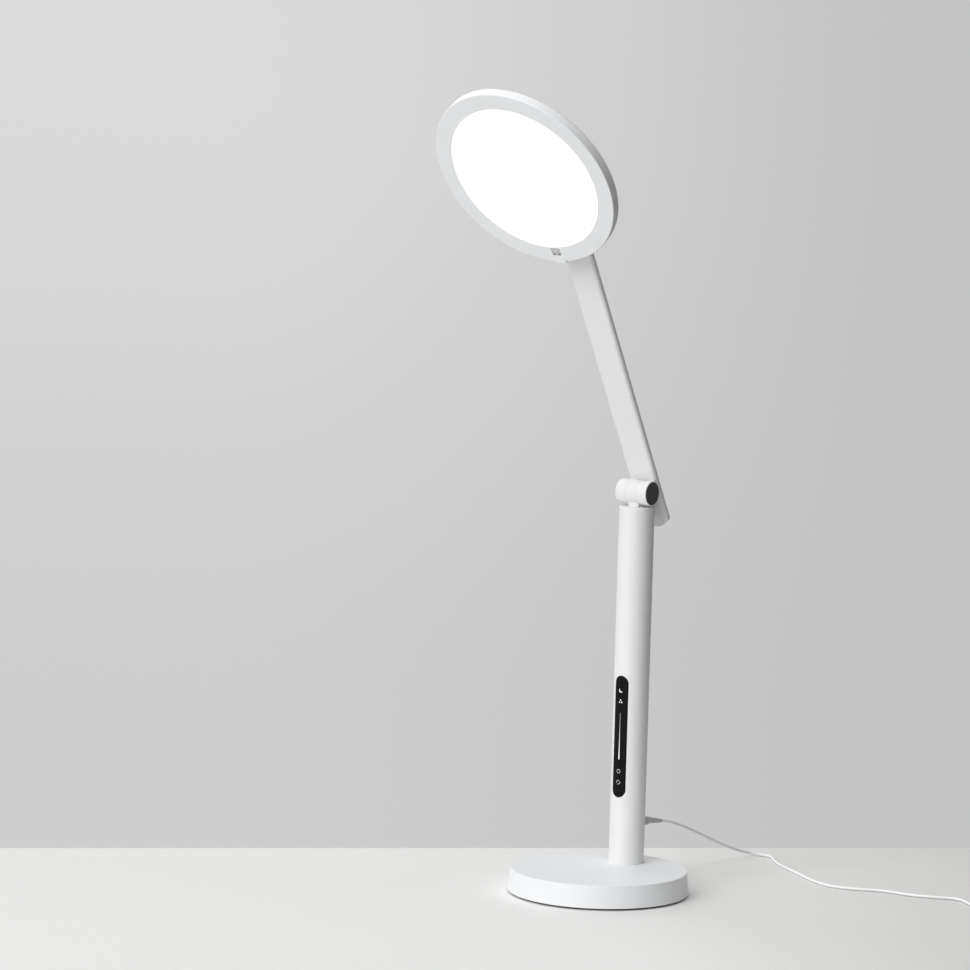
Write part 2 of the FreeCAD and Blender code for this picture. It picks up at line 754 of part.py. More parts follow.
knuckle("lower_knuckle", lower_frame)
tenon_nut("lower_tenon_nut", lower_frame, s.cap_thickness)
for name, height in (("lower", 0), ("upper", s.arm_span)):
    barrel(name + "_barrel_left", -1, height)
    barrel(name + "_barrel_right", 1, height)
    hinge_hardware(name, height)
knuckle("upper_knuckle", head_frame)
tenon_nut("upper_tenon_nut", head_frame, s.hub_wall)

# ---------------------------------------------------------------- arm
tube_low = -s.arm_tail
tube_high = s.arm_span + s.arm_nose


def flat_bar(inset, low, high):
    """Length of the arm's rounded section, drawn in on every side by the inset."""
    half = s.arm_width / 2 - inset
    bar = box((-half, arm_face + inset, low), (half, arm_back - inset, high))
    return rounded(bar, s.arm_edge - inset, runs_along(Vector(0, 0, 1)))


arm_holes = [flat_bar(s.arm_wall, tube_low, tube_high)]
for height in (0, s.arm_span):
    arm_holes += arm_screws(-1, height, s.fit_gap) + arm_screws(1, height, s.fit_gap) + [wire_way(height)]
finish("arm_tube", cut(flat_bar(0, tube_low, tube_high), *arm_holes), arm_frame)

arch_half = s.arm_width / 2
arch_radius = (arch_half * arch_half + s.arch_height * s.arch_height) / (2 * s.arch_height)


def end_plug(label, end, outward):
    """Moulded end of the arm: an arched tip and a spigot in the tube."""
    far = end + outward * s.arch_height
    tip_low, tip_high = (end, far) if outward > 0 else (far, end)
    arch = cylinder(arch_radius, arm_back + s.arm_thickness, (0, 0, far - outward * arch_radius), to_back)
    tip = common(flat_bar(s.plug_inset, tip_low, tip_high), arch)
    reach = end - outward * s.plug_reach
    spigot_low, spigot_high = (reach, end) if outward > 0 else (end, reach)
    spigot = flat_bar(s.arm_wall + s.fit_gap, spigot_low, spigot_high)
    return finish(label, fuse(tip, spigot), arm_frame)


end_plug("arm_end_lower", tube_low, -1)
end_plug("arm_end_upper", tube_high, 1)

# The loom comes in between the left barrel's screws at each end and runs up the middle.
loom_depth = arm_face + s.arm_wall + s.loom_radius
loom_turns = [cylinder(s.loom_radius, s.arm_screw_place, (-s.arm_screw_place, loom_depth, height), to_right)
              for height in (0, s.arm_span)]
finish("arm_loom", fuse(cylinder(s.loom_radius, s.arm_span, (0, loom_depth, 0)), *loom_turns), arm_frame)

# ---------------------------------------------------------------- light head
hub_face = -s.hinge_rise
head_back = hub_face - s.hub_depth
head_front = head_back - s.head_depth
face_inside = head_front + s.face_thickness
skirt_inside = s.head_radius - s.skirt_wall
opening_radius = s.head_radius - s.face_width
strip_wall_inside = opening_radius + s.diffuser_lap
strip_wall_outside = strip_wall_inside + s.strip_wall
strip_wall_end = head_front + s.strip_wall_height
strip_outside = strip_wall_inside - s.fit_gap
strip_inside = strip_outside - s.strip_thickness
chip_inside = strip_inside - s.chip_depth - s.fit_gap / 2
guide_radius = chip_inside - s.guide_gap
diffuser_back = face_inside + s.diffuser_thickness
guide_back = diffuser_back + s.guide_thickness
reflector_back = guide_back + s.reflector_thickness
plate_back = reflector_back + s.heat_plate_thickness
cover_front = head_back - s.cover_thickness
head_boss_places = list(around(8, (strip_wall_outside + skirt_inside) / 2, 22.5))
hub_boss_places = list(around(3, s.hub_boss_circle, 30))

bezel_body = turned_body("bezel_body", [
    (opening_radius, head_front),
    (s.head_radius, head_front),
    (s.head_radius, head_back),
    (skirt_inside, head_back),
    (skirt_inside, face_inside),
    (strip_wall_outside, face_inside),
    (strip_wall_outside, strip_wall_end),
    (strip_wall_inside, strip_wall_end),
    (strip_wall_inside, face_inside),
    (opening_radius, face_inside)])
round_body(bezel_body, s.face_edge, circle_at(s.head_radius, z=head_front))
round_body(bezel_body, s.rim_edge, circle_at(s.head_radius, z=head_back))
round_body(bezel_body, s.face_thickness / 2, circle_at(opening_radius, z=head_front))
head_bosses = [cut(cylinder(s.head_boss_radius, cover_front - face_inside, (x, y, face_inside)),
                   cylinder(s.head_screw_radius, cover_front - face_inside, (x, y, face_inside)))
               for x, y in head_boss_places]


def rounded_plate(width, tall, thickness, at, corner):
    """Small plate with round corners, centred across its point, from its point toward the back."""
    x, y, z = at
    plate = box((x - width / 2, y - tall / 2, z), (x + width / 2, y + tall / 2, z + thickness))
    return rounded(plate, corner, runs_along(Vector(0, 0, 1)))


sensor_at = (s.sensor_offset, s.head_radius - s.sensor_inset, head_front)
sensor_pocket = rounded_plate(s.sensor_width + 2 * s.fit_gap, s.sensor_tall + 2 * s.fit_gap,
                              s.sensor_thickness, sensor_at, s.tab_corner)
tab_at = (s.tab_offset, s.head_radius + s.tab_out - s.tab_tall / 2, head_front - s.tab_proud)
tab_slot = rounded_plate(s.tab_width + 2 * s.fit_gap, s.tab_tall + 2 * s.fit_gap,
                         s.tab_thickness + s.fit_gap, tab_at, s.tab_corner)
finish("head_bezel", cut(fuse(bezel_body, *head_bosses), sensor_pocket, tab_slot), head_frame)
finish("sensor_window", rounded_plate(s.sensor_width, s.sensor_tall, s.sensor_thickness, sensor_at,
                                      s.tab_corner), head_frame)
finish("grip_tab", rounded_plate(s.tab_width, s.tab_tall, s.tab_thickness, tab_at, s.tab_corner), head_frame)

finish("diffuser", cylinder(strip_outside, s.diffuser_thickness, (0, 0, face_inside)), head_frame)
finish("light_guide", cylinder(guide_radius, s.guide_thickness, (0, 0, diffuser_back)), head_frame)
finish("reflector_sheet", cylinder(guide_radius, s.reflector_thickness, (0, 0, guide_back)), head_frame)
finish("heat_plate", cylinder(strip_outside, s.heat_plate_thickness, (0, 0, reflector_back)), head_frame)

strip_pieces = [ring(strip_outside, strip_inside, s.guide_thickness, (0, 0, diffuser_back))]
chip_count = 48
chip_floor = diffuser_back + (s.guide_thickness - s.chip_height) / 2
chip_corner = placed((chip_inside, -s.chip_length / 2, chip_floor))
for step in range(chip_count):
    chip = doc.addObject("Part::Box", "chip")
    bind(chip, Length=s.chip_depth, Width=s.chip_length, Height=s.chip_height)
    chip_turn = placed((0, 0, 0), (0, 0, 1, 360 * step / chip_count))
    chip.setExpression("Placement", chip_turn + " * " + chip_corner)
    strip_pieces.append(chip)
finish("light_strip", group(strip_pieces), head_frame)


def head_screws(extra=0):
    return [countersunk(s.head_screw_head, s.head_screw_radius, s.head_screw_length,
                        (x, y, head_back), downward, extra) for x, y in head_boss_places]


cover_holes = head_screws(s.fit_gap)
cover_holes += [cylinder(s.head_screw_radius + s.fit_gap, s.cover_thickness, (x, y, cover_front))
                for x, y in hub_boss_places]
cover_holes.append(cylinder(s.cover_hole, s.cover_thickness, (0, 0, cover_front)))
cover_disc = cylinder(skirt_inside - s.fit_gap, s.cover_thickness, (0, 0, cover_front))
rib_radius = opening_radius - s.rib_inset
cover_rib = ring(rib_radius, rib_radius - s.rib_width, cover_front - plate_back, (0, 0, plate_back))
finish("head_back_cover", cut(fuse(cover_disc, cover_rib), *cover_holes), head_frame)
finish("head_screws", group(head_screws()), head_frame)

hub_roof = hub_face - s.hub_wall
hub_body = turned_body("hub_body", [
    (s.tenon_radius + s.fit_gap, hub_roof),
    (s.hub_radius - s.hub_wall, hub_roof),
    (s.hub_radius - s.hub_wall, head_back),
    (s.hub_radius, head_back),
    (s.hub_radius, hub_face),
    (s.tenon_radius + s.fit_gap, hub_face)])
round_body(hub_body, s.hub_edge, circle_at(s.hub_radius, z=hub_face))
hub_bosses = [cut(cylinder(s.hub_boss_radius, hub_roof - head_back, (x, y, head_back)),
                  cylinder(s.head_screw_radius, hub_roof - head_back, (x, y, head_back)))
              for x, y in hub_boss_places]
finish("hub_cover", fuse(hub_body, *hub_bosses), head_frame)

hub_screws = []
for x, y in hub_boss_places:
    start = cover_front - s.hub_screw_head_height
    hub_screws.append(fuse(cylinder(s.head_screw_head, s.hub_screw_head_height, (x, y, start)),
                           cylinder(s.head_screw_radius, s.hub_screw_length, (x, y, start))))
finish("hub_screws", group(hub_screws), head_frame)

driver_half = s.driver_width / 2
driver_face = head_back + s.driver_thickness
driver_middle = s.driver_place + s.driver_depth / 2
choke_height = hub_roof - driver_face - s.choke_gap
finish("driver_board", group([
    box((-driver_half, s.driver_place, head_back),
        (driver_half, s.driver_place + s.driver_depth, driver_face)),
    cylinder(s.choke_radius, choke_height, (-driver_half / 2, driver_middle, driver_face)),
    box((s.converter_place, driver_middle - s.choke_radius, driver_face),
        (s.converter_place + s.converter_width, driver_middle + s.choke_radius,
         driver_face + s.converter_height))]), head_frame)

# ---------------------------------------------------------------- supply cord
plug_face = pole_back + socket_face
plug_end = plug_face + s.plug_length
plug_grip = cylinder(s.plug_radius, s.plug_length, (0, plug_face, s.socket_height), to_back)
plug_grip = rounded(plug_grip, s.plug_radius / 4, circle_at(s.plug_radius, y=plug_end))
pin_length = s.socket_depth - s.plug_pin_gap
plug_pin = ring(s.plug_pin_radius, s.socket_pin + s.fit_gap, pin_length,
                (0, plug_face - pin_length, s.socket_height), to_back)
finish("dc_plug", fuse(plug_grip, plug_pin))
finish("plug_boot", cone(s.boot_start, s.boot_end, s.boot_length, (0, plug_end, s.socket_height),
                         (1, 0, 0, -s.boot_droop - 90)))

cord_height = number(s.cord_radius + s.cord_lift)
droop = math.radians(number(s.boot_droop))
exit_point = Vector(0, number(plug_end) + number(s.boot_length) * math.cos(droop),
                    number(s.socket_height) - number(s.boot_length) * math.sin(droop))
coil_middle = Vector(345, 216.5, 0)
coil_inside = 11.3
coil_outside = 23.0
coil_tall = 12.5
# Down from the boot behind the pole, round on the table, and off to the right.
lead_points = [
    exit_point,
    Vector(0.2, 121.5, 56.0),
    Vector(0.8, 144.5, 48.2),
    Vector(1.5, 179.5, 34.2),
    Vector(1.0, 216.5, 19.2),
    Vector(0.5, 244.5, 9.8),
    Vector(1.5, 265, 3.8),
    Vector(11.3, 274.8, cord_height),
    Vector(25.1, 274.8, cord_height),
    Vector(40, 257.5, cord_height),
    Vector(58, 241.5, cord_height),
    Vector(90, 222, cord_height),
    Vector(124, 198.5, cord_height),
    Vector(153, 186.5, cord_height),
    Vector(180, 192.5, cord_height),
    Vector(204, 206.5, cord_height),
    Vector(238, 207, cord_height),
    Vector(262, 216.5, cord_height),
    Vector(282, 226.5, cord_height),
    Vector(302, 212.5, cord_height),
    Vector(320, 198, cord_height),
    Vector(336, 195.3, cord_height)]
# Off the top of the coil, sagging a little, and into the adapter.
tail_points = [
    Vector(360.2, 201.5, cord_height + 9.3),
    Vector(367.2, 208.3, cord_height + 7.8),
    Vector(374.6, 215.1, cord_height + 5.4),
    Vector(381.8, 221.5, cord_height + 3.8),
    Vector(387.8, 228.5, cord_height + 4.4),
    Vector(391.8, 236.7, cord_height + 6),
    Vector(393, 245.1, number(s.adapter_entry))]


def cord_tube(label, points):
    """Round cord along straight runs joined by tangent arcs."""
    runs = [end - start for start, end in zip(points, points[1:])]
    edges = []
    radii = []
    start = points[0]
    for corner, before, after in zip(points[1:-1], runs, runs[1:]):
        half_turn = before.getAngle(after) / 2
        back = 0.45 * min(before.Length, after.Length)
        radii.append(back / math.tan(half_turn))
        into = corner - before / before.Length * back
        out = corner + after / after.Length * back
        bulge = (into + out) * 0.5 - corner
        middle = corner + bulge / bulge.Length * (radii[-1] / math.cos(half_turn) - radii[-1])
        edges += [Part.LineSegment(start, into).toShape(), Part.Arc(into, middle, out).toShape()]
        start = out
    edges.append(Part.LineSegment(start, points[-1]).toShape())
    path = Part.Wire(edges)
    section = Part.Wire(Part.makeCircle(number(s.cord_radius), points[0], runs[0]))
    tube = doc.addObject("Part::Feature", label)
    tube.Shape = path.makePipeShell([section], True, False)
    expected = math.pi * number(s.cord_radius) ** 2 * path.Length
    print("%s: length %.1f, volume %.1f of %.1f, radii %s"
          % (label, path.Length, tube.Shape.Volume, expected, [round(radius, 1) for radius in radii]))
    finish(label, tube)
    return path.Length


lead_length = cord_tube("cord_lead", lead_points)
coil_body = turned_body("cord_coil", [(coil_inside, 0), (coil_outside, 0), (coil_outside, coil_tall),
                                      (coil_inside, coil_tall)])
round_body(coil_body, s.cord_radius, lambda edge: isinstance(edge.Curve, Part.Circle))
coil_body.Placement = Placement(coil_middle, Rotation())
finish("cord_coil", coil_body)
tail_length = cord_tube("cord_tail", tail_points)

gland = cone(s.cord_radius + s.gland_wall, s.gland_radius, s.gland_length,
             (tail_points[-1].x, tail_points[-1].y, s.adapter_entry), to_back)
adapter_front = tail_points[-1].y + s.gland_length
adapter_low = (tail_points[-1].x - s.adapter_width / 2, adapter_front, 0)
adapter_high = (tail_points[-1].x + s.adapter_width / 2, adapter_front + s.adapter_length, s.adapter_height)
adapter_case = rounded(box(adapter_low, adapter_high), s.adapter_edge,
                       lambda edge: edge.BoundBox.ZMax > number(s.cord_radius))
finish("adapter_body", fuse(adapter_case, gland))
blades = []
for side in (-1, 1):
    middle = tail_points[-1].x + side * s.blade_spread
    height = s.adapter_height / 2
    blades.append(box((middle - s.blade_thickness / 2, adapter_high[1], height - s.blade_width / 2),
                      (middle + s.blade_thickness / 2, adapter_high[1] + s.blade_length,
                       height + s.blade_width / 2)))
finish("adapter_blades", group(blades))

# ---------------------------------------------------------------- check and export
doc.recompute()
for obj in doc.Objects:
    if {"Invalid", "Error"} & set(obj.State):
        raise RuntimeError("%s failed: %s" % (obj.Name, obj.State))
for node in nodes:
    if node.Shape.isNull() or not node.Shape.isValid():
        raise RuntimeError(node.Label + " has no valid shape")
for node in nodes:
    node.Shape.exportStep(os.path.join("parts", node.Label + ".step"))
print("%d sub-parts, cord lengths %.0f and %.0f" % (len(nodes), lead_length, tail_length))
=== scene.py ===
import bpy
import math
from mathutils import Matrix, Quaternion, Vector


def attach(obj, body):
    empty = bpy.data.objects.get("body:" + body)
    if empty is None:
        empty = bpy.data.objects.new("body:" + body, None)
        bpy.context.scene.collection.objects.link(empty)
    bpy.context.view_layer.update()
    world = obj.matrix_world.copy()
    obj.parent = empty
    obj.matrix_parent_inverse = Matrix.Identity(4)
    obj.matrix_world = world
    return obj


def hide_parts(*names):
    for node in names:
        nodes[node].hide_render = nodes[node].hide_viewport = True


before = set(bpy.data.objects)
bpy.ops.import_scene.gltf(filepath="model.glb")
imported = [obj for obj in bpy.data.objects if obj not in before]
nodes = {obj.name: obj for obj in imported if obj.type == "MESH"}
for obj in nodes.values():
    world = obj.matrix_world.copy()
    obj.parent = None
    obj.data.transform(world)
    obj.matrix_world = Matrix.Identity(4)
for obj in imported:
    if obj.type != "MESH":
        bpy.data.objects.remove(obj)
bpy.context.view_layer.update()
scene = bpy.context.scene
scene.view_settings.view_transform = "Standard"
bpy.ops.object.select_all(action="DESELECT")
print("frame loaded:", len(nodes), "nodes")


# The direction from the object to what is turned round it and raised above it, both in degrees.
def outward(turn, height):
    turn, height = math.radians(turn), math.radians(height)
    return Vector((math.sin(turn) * math.cos(height), -math.cos(turn) * math.cos(height), math.sin(height)))


camera = {
    "place": (2.29064, -3.19152, 0.80633),
    "turn": 37.47,          # degrees round the lamp
    "down": 5.83,           # degrees that it looks down
    "roll": 1.55,
    "lens": 148.34,         # mm
    "sensor": 36.0,
    "near": 0.05,
    "far": 60.0,
}


def addCamera(view):
    bpy.ops.object.camera_add(location=view["place"])
    eye = bpy.context.object
    eye.name = "deskCamera"
    eye.rotation_mode = "QUATERNION"
    level = (-outward(view["turn"], view["down"])).to_track_quat("-Z", "Y")
    eye.rotation_quaternion = level @ Quaternion((0, 0, 1), math.radians(view["roll"]))
    eye.data.lens = view["lens"]
    eye.data.sensor_width = view["sensor"]
    eye.data.clip_start = view["near"]
    eye.data.clip_end = view["far"]
    scene.camera = eye


addCamera(camera)
print("camera placed")


# Small helpers for shader nodes. In addNode, links holds (input's name or number, socket or value that it
# gets), and values are the node's properties.
def addNode(tree, kind, links=(), **values):
    node = tree.nodes.new(kind)
    for key, value in values.items():
        setattr(node, key, value)
    for key, source in links:
        if isinstance(source, bpy.types.NodeSocket):
            tree.links.new(source, node.inputs[key])
        else:
            node.inputs[key].default_value = source
    return node


def mathNode(tree, operation, first, second=0.0, third=0.0):
    links = [(0, first), (1, second), (2, third)]
    return addNode(tree, "ShaderNodeMath", links, operation=operation).outputs[0]


def dotProduct(tree, vector, axis):
    links = [(0, vector), (1, axis)]
    return addNode(tree, "ShaderNodeVectorMath", links, operation="DOT_PRODUCT").outputs["Value"]


def scaleColour(tree, colour, factor):
    links = [(0, colour), ("Scale", factor)]
    return addNode(tree, "ShaderNodeVectorMath", links, operation="SCALE").outputs[0]


def mixColours(tree, factor, first, second):
    links = [("Factor", factor), ("A", first), ("B", second)]
    return addNode(tree, "ShaderNodeMix", links, data_type="RGBA").outputs["Result"]


def mapRange(tree, value, low, high, kind="LINEAR"):
    links = [("Value", value), ("From Min", low), ("From Max", high)]
    return addNode(tree, "ShaderNodeMapRange", links, interpolation_type=kind).outputs["Result"]


def noise(tree, point, scale, detail, rough=0.5):
    links = [("Vector", point), ("Scale", scale), ("Detail", detail), ("Roughness", rough)]
    return addNode(tree, "ShaderNodeTexNoise", links).outputs["Fac"]


def objectPoint(tree):
    return addNode(tree, "ShaderNodeTexCoord").outputs["Object"]


# The node groups that the materials share.
def newGroup(name, inputs, outputs):
    group = bpy.data.node_groups.new(name, "ShaderNodeTree")
    for label, kind, value in inputs:
        socket = group.interface.new_socket(label, in_out="INPUT", socket_type=kind)
        socket.default_value = value
    for label, kind in outputs:
        group.interface.new_socket(label, in_out="OUTPUT", socket_type=kind)
    return group, group.nodes.new("NodeGroupInput"), group.nodes.new("NodeGroupOutput")


noiseMiddle = 0.5       # what a noise texture varies about
skinPattern = {
    "cloudDetail": 3.0,
    "grainDetail": 2.0,
    "grainRoughness": 0.55,
    "speckle": 0.5,         # share of the grain in the gloss
}


# Broad unevenness of tone and gloss, with a fine surface height: paint, moulded plastic, rubber.
def makeSkinGroup(look):
    group, given, put = newGroup(
        "skinVariation",
        [("Colour", "NodeSocketColor", (0.8, 0.8, 0.8, 1)), ("Tone Spread", "NodeSocketFloat", 0.03),
         ("Roughness", "NodeSocketFloat", 0.4), ("Gloss Spread", "NodeSocketFloat", 0.08),
         ("Grain Size", "NodeSocketFloat", 900.0), ("Cloud Size", "NodeSocketFloat", 14.0)],
        [("Colour", "NodeSocketColor"), ("Roughness", "NodeSocketFloat"), ("Height", "NodeSocketFloat")])
    point = objectPoint(group)
    clouds = noise(group, point, given.outputs["Cloud Size"], look["cloudDetail"])
    grain = noise(group, point, given.outputs["Grain Size"], look["grainDetail"], look["grainRoughness"])
    uneven = mathNode(group, "SUBTRACT", clouds, noiseMiddle)
    tone = mathNode(group, "MULTIPLY_ADD", uneven, given.outputs["Tone Spread"], 1.0)
    group.links.new(scaleColour(group, given.outputs["Colour"], tone), put.inputs["Colour"])
    speckle = mathNode(group, "SUBTRACT", grain, noiseMiddle)
    mixed = mathNode(group, "ADD", uneven, mathNode(group, "MULTIPLY", speckle, look["speckle"]))
    gloss = mathNode(group, "MULTIPLY_ADD", mixed, given.outputs["Gloss Spread"], given.outputs["Roughness"])
    group.links.new(gloss, put.inputs["Roughness"])
    group.links.new(grain, put.inputs["Height"])
    return group


streakPattern = {
    "lineDetail": 4.0,
    "spotSize": 220.0,
    "spotDetail": 2.0,
    "spotBase": 0.5,        # added to the spots, so that they vary about 1
    "glossSpread": 0.25,
}


# Fine parallel lines along one axis, broken by spots: rolled sheet, turned parts and plating.
def makeStreakGroup(look):
    group, given, put = newGroup(
        "metalStreaks",
        [("Colour", "NodeSocketColor", (0.6, 0.6, 0.6, 1)), ("Dark", "NodeSocketColor", (0.4, 0.4, 0.4, 1)),
         ("Stretch", "NodeSocketVector", (40.0, 1500.0, 1500.0)), ("Roughness", "NodeSocketFloat", 0.3)],
        [("Colour", "NodeSocketColor"), ("Roughness", "NodeSocketFloat"), ("Height", "NodeSocketFloat")])
    point = objectPoint(group)
    stretched = addNode(group, "ShaderNodeVectorMath", [(0, point), (1, given.outputs["Stretch"])],
                        operation="MULTIPLY").outputs[0]
    lines = noise(group, stretched, 1.0, look["lineDetail"])
    spots = noise(group, point, look["spotSize"], look["spotDetail"])
    both = mathNode(group, "MULTIPLY", lines, mathNode(group, "ADD", spots, look["spotBase"]))
    colour = mixColours(group, both, given.outputs["Dark"], given.outputs["Colour"])
    group.links.new(colour, put.inputs["Colour"])
    uneven = mathNode(group, "SUBTRACT", both, noiseMiddle)
    gloss = mathNode(group, "MULTIPLY_ADD", uneven, look["glossSpread"], given.outputs["Roughness"])
    group.links.new(gloss, put.inputs["Roughness"])
    group.links.new(lines, put.inputs["Height"])
    return group


dustPattern = {
    "facing": (-0.2, 1.0),      # upward part of the normal, from no dust to full dust
    "specks": (0.45, 0.75),     # range of the noise that becomes specks
    "detail": 5.0,
    "colour": (0.6, 0.58, 0.55),
}


# Dust that has settled on what faces up, broken up by noise. Puts out a mask.
def makeDustGroup(look):
    group, given, put = newGroup(
        "settledDust", [("Amount", "NodeSocketFloat", 0.1), ("Size", "NodeSocketFloat", 300.0)],
        [("Mask", "NodeSocketFloat")])
    normal = addNode(group, "ShaderNodeNewGeometry").outputs["Normal"]
    upward = addNode(group, "ShaderNodeSeparateXYZ", [(0, normal)]).outputs["Z"]
    specks = noise(group, objectPoint(group), given.outputs["Size"], look["detail"])
    mask = mathNode(group, "MULTIPLY", mapRange(group, upward, *look["facing"]),
                    mapRange(group, specks, *look["specks"]))
    group.links.new(mathNode(group, "MULTIPLY", mask, given.outputs["Amount"]), put.inputs["Mask"])
    return group


groups = {
    "skin": makeSkinGroup(skinPattern),
    "streak": makeStreakGroup(streakPattern),
    "dust": makeDustGroup(dustPattern),
}


def useGroup(tree, name, values):
    node = tree.nodes.new("ShaderNodeGroup")
    node.node_tree = groups[name]
    for key, value in values.items():
        node.inputs[key].default_value = value
    return node


# The values go on the shader's own sockets.
def newMaterial(name, **values):
    material = bpy.data.materials.new(name)
    material.use_nodes = True
    shader = material.node_tree.nodes["Principled BSDF"]
    for key, value in values.items():
        shader.inputs[key].default_value = value
    return material, material.node_tree, shader


def addBump(tree, shader, height, distance):
    bump = addNode(tree, "ShaderNodeBump", [("Height", height), ("Distance", distance), ("Strength", 1.0)])
    tree.links.new(bump.outputs["Normal"], shader.inputs["Normal"])


def skinMaterial(name, colour, rough, grain, bump, tone=0.03, gloss=0.08, dust=0.0, **values):
    material, tree, shader = newMaterial(name, **values)
    skin = useGroup(tree, "skin", {"Colour": (*colour, 1), "Roughness": rough, "Grain Size": grain,
                                   "Tone Spread": tone, "Gloss Spread": gloss})
    base = skin.outputs["Colour"]
    if dust:
        mask = useGroup(tree, "dust", {"Amount": dust}).outputs["Mask"]
        base = mixColours(tree, mask, base, (*dustPattern["colour"], 1))
    tree.links.new(base, shader.inputs["Base Color"])
    tree.links.new(skin.outputs["Roughness"], shader.inputs["Roughness"])
    addBump(tree, shader, skin.outputs["Height"], bump)
    return material


def metalMaterial(name, colour, dark, stretch, rough, bump):
    material, tree, shader = newMaterial(name, Metallic=1.0)
    streak = useGroup(tree, "streak", {"Colour": (*colour, 1), "Dark": (*dark, 1), "Stretch": stretch,
                                       "Roughness": rough})
    tree.links.new(streak.outputs["Colour"], shader.inputs["Base Color"])
    tree.links.new(streak.outputs["Roughness"], shader.inputs["Roughness"])
    addBump(tree, shader, streak.outputs["Height"], bump)
    return material


diffuserLook = {
    "middle": (0, -0.15456, 0.7113),
    "radius": 0.0804,
    "rimStart": 0.6,            # share of the radius at which the rim's tone begins
    "inner": (1, 1, 1),
    "outer": (0.98, 0.99, 1),
    "dots": 1400.0,
    "dotShade": -0.03,
    "base": (0.9, 0.9, 0.9),
    "strength": 1.0,
    "rough": 0.55,
    "bump": 0.00002,
}


# The lit panel: even light through fine printed dots, a touch cooler towards the rim.
def diffuserMaterial(name, look):
    material, tree, shader = newMaterial(name, Roughness=look["rough"])
    point = objectPoint(tree)
    away = addNode(tree, "ShaderNodeVectorMath", [(0, point), (1, look["middle"])], operation="DISTANCE")
    rim = mapRange(tree, away.outputs["Value"], look["radius"] * look["rimStart"], look["radius"])
    glow = mixColours(tree, rim, (*look["inner"], 1), (*look["outer"], 1))
    dots = addNode(tree, "ShaderNodeTexVoronoi", [("Vector", point), ("Scale", look["dots"])])
    faint = mathNode(tree, "MULTIPLY_ADD", dots.outputs["Distance"], look["dotShade"], 1.0)
    tree.links.new(scaleColour(tree, glow, faint), shader.inputs["Emission Color"])
    shader.inputs["Emission Strength"].default_value = look["strength"]
    skin = useGroup(tree, "skin", {"Colour": (*look["base"], 1)})
    tree.links.new(skin.outputs["Colour"], shader.inputs["Base Color"])
    addBump(tree, shader, dots.outputs["Distance"], look["bump"])
    return material


# Heights between which a sign's light changes, and its tone at both.
sliderLight = {"low": 0.133, "high": 0.166, "lowTone": 0.60, "highTone": 0.16, "strength": 1.0,
               "rough": 0.4}
iconLight = {"low": 0.100, "high": 0.200, "lowTone": 0.26, "highTone": 0.62, "strength": 1.0, "rough": 0.4}


def signMaterial(name, look):
    material, tree, shader = newMaterial(name, Roughness=look["rough"])
    height = addNode(tree, "ShaderNodeSeparateXYZ", [(0, objectPoint(tree))]).outputs["Z"]
    lowest, highest = ((tone, tone, tone, 1) for tone in (look["lowTone"], look["highTone"]))
    glow = mixColours(tree, mapRange(tree, height, look["low"], look["high"]), lowest, highest)
    tree.links.new(glow, shader.inputs["Emission Color"])
    tree.links.new(glow, shader.inputs["Base Color"])
    shader.inputs["Emission Strength"].default_value = look["strength"]
    return material


# Each: colour, roughness, grain's scale, bump in metres, and what else the finish has.
skinFinishes = {
    "satinPaint": ((0.83, 0.83, 0.83), 0.40, 1300.0, 0.000012, {"tone": 0.02}),
    "mouldedWhite": ((0.84, 0.85, 0.865), 0.46, 2600.0, 0.00001, {"tone": 0.02}),
    "backShell": ((0.80, 0.805, 0.81), 0.52, 1900.0, 0.00003, {}),
    "cordVinyl": ((0.92, 0.92, 0.915), 0.5, 1500.0, 0.00002, {"gloss": 0.15}),
    # The plug's mid grey is partly painted shade: the shadow that the pole casts on the plug and strain
    # relief.
    "plugVinylPaintedShade": ((0.56, 0.555, 0.55), 0.5, 1500.0, 0.00002, {"gloss": 0.15}),
    "glossBlack": ((0.0035, 0.0035, 0.004), 0.10, 700.0, 0.000001,
                   {"gloss": 0.03, "dust": 0.01, "Specular IOR Level": 0.12}),
    "capBlack": ((0.040, 0.040, 0.043), 0.22, 900.0, 0.000003,
                 {"gloss": 0.06, "dust": 0.03, "Specular IOR Level": 0.28}),
    "smokedLens": ((0.50, 0.50, 0.50), 0.12, 800.0, 0.000001, {}),
    "footRubber": ((0.05, 0.05, 0.052), 0.75, 1500.0, 0.00006, {"tone": 0.3, "dust": 0.1}),
    "clearGuide": ((0.92, 0.95, 0.96), 0.1, 500.0, 0.000002, {}),
    "whiteSheet": ((0.9, 0.9, 0.9), 0.6, 1800.0, 0.00001, {}),
    "castIron": ((0.09, 0.09, 0.095), 0.6, 700.0, 0.0002, {"tone": 0.5, "gloss": 0.3, "Metallic": 0.7}),
    "milkyNylon": ((0.74, 0.73, 0.68), 0.5, 1100.0, 0.00002, {}),
    # This dark finish also goes on the sensor's two dark spots, which are painted shadow.
    "darkHousingAndPaintedShadow": ((0.03, 0.03, 0.032), 0.35, 1500.0, 0.00001, {"dust": 0.05}),
    "solderMask": ((0.02, 0.16, 0.06), 0.3, 900.0, 0.00002, {"tone": 0.4}),
    "lightBoard": ((0.85, 0.83, 0.68), 0.5, 1500.0, 0.00002, {"tone": 0.1}),
    "wireSleeve": ((0.06, 0.06, 0.06), 0.5, 1800.0, 0.00002, {}),
}
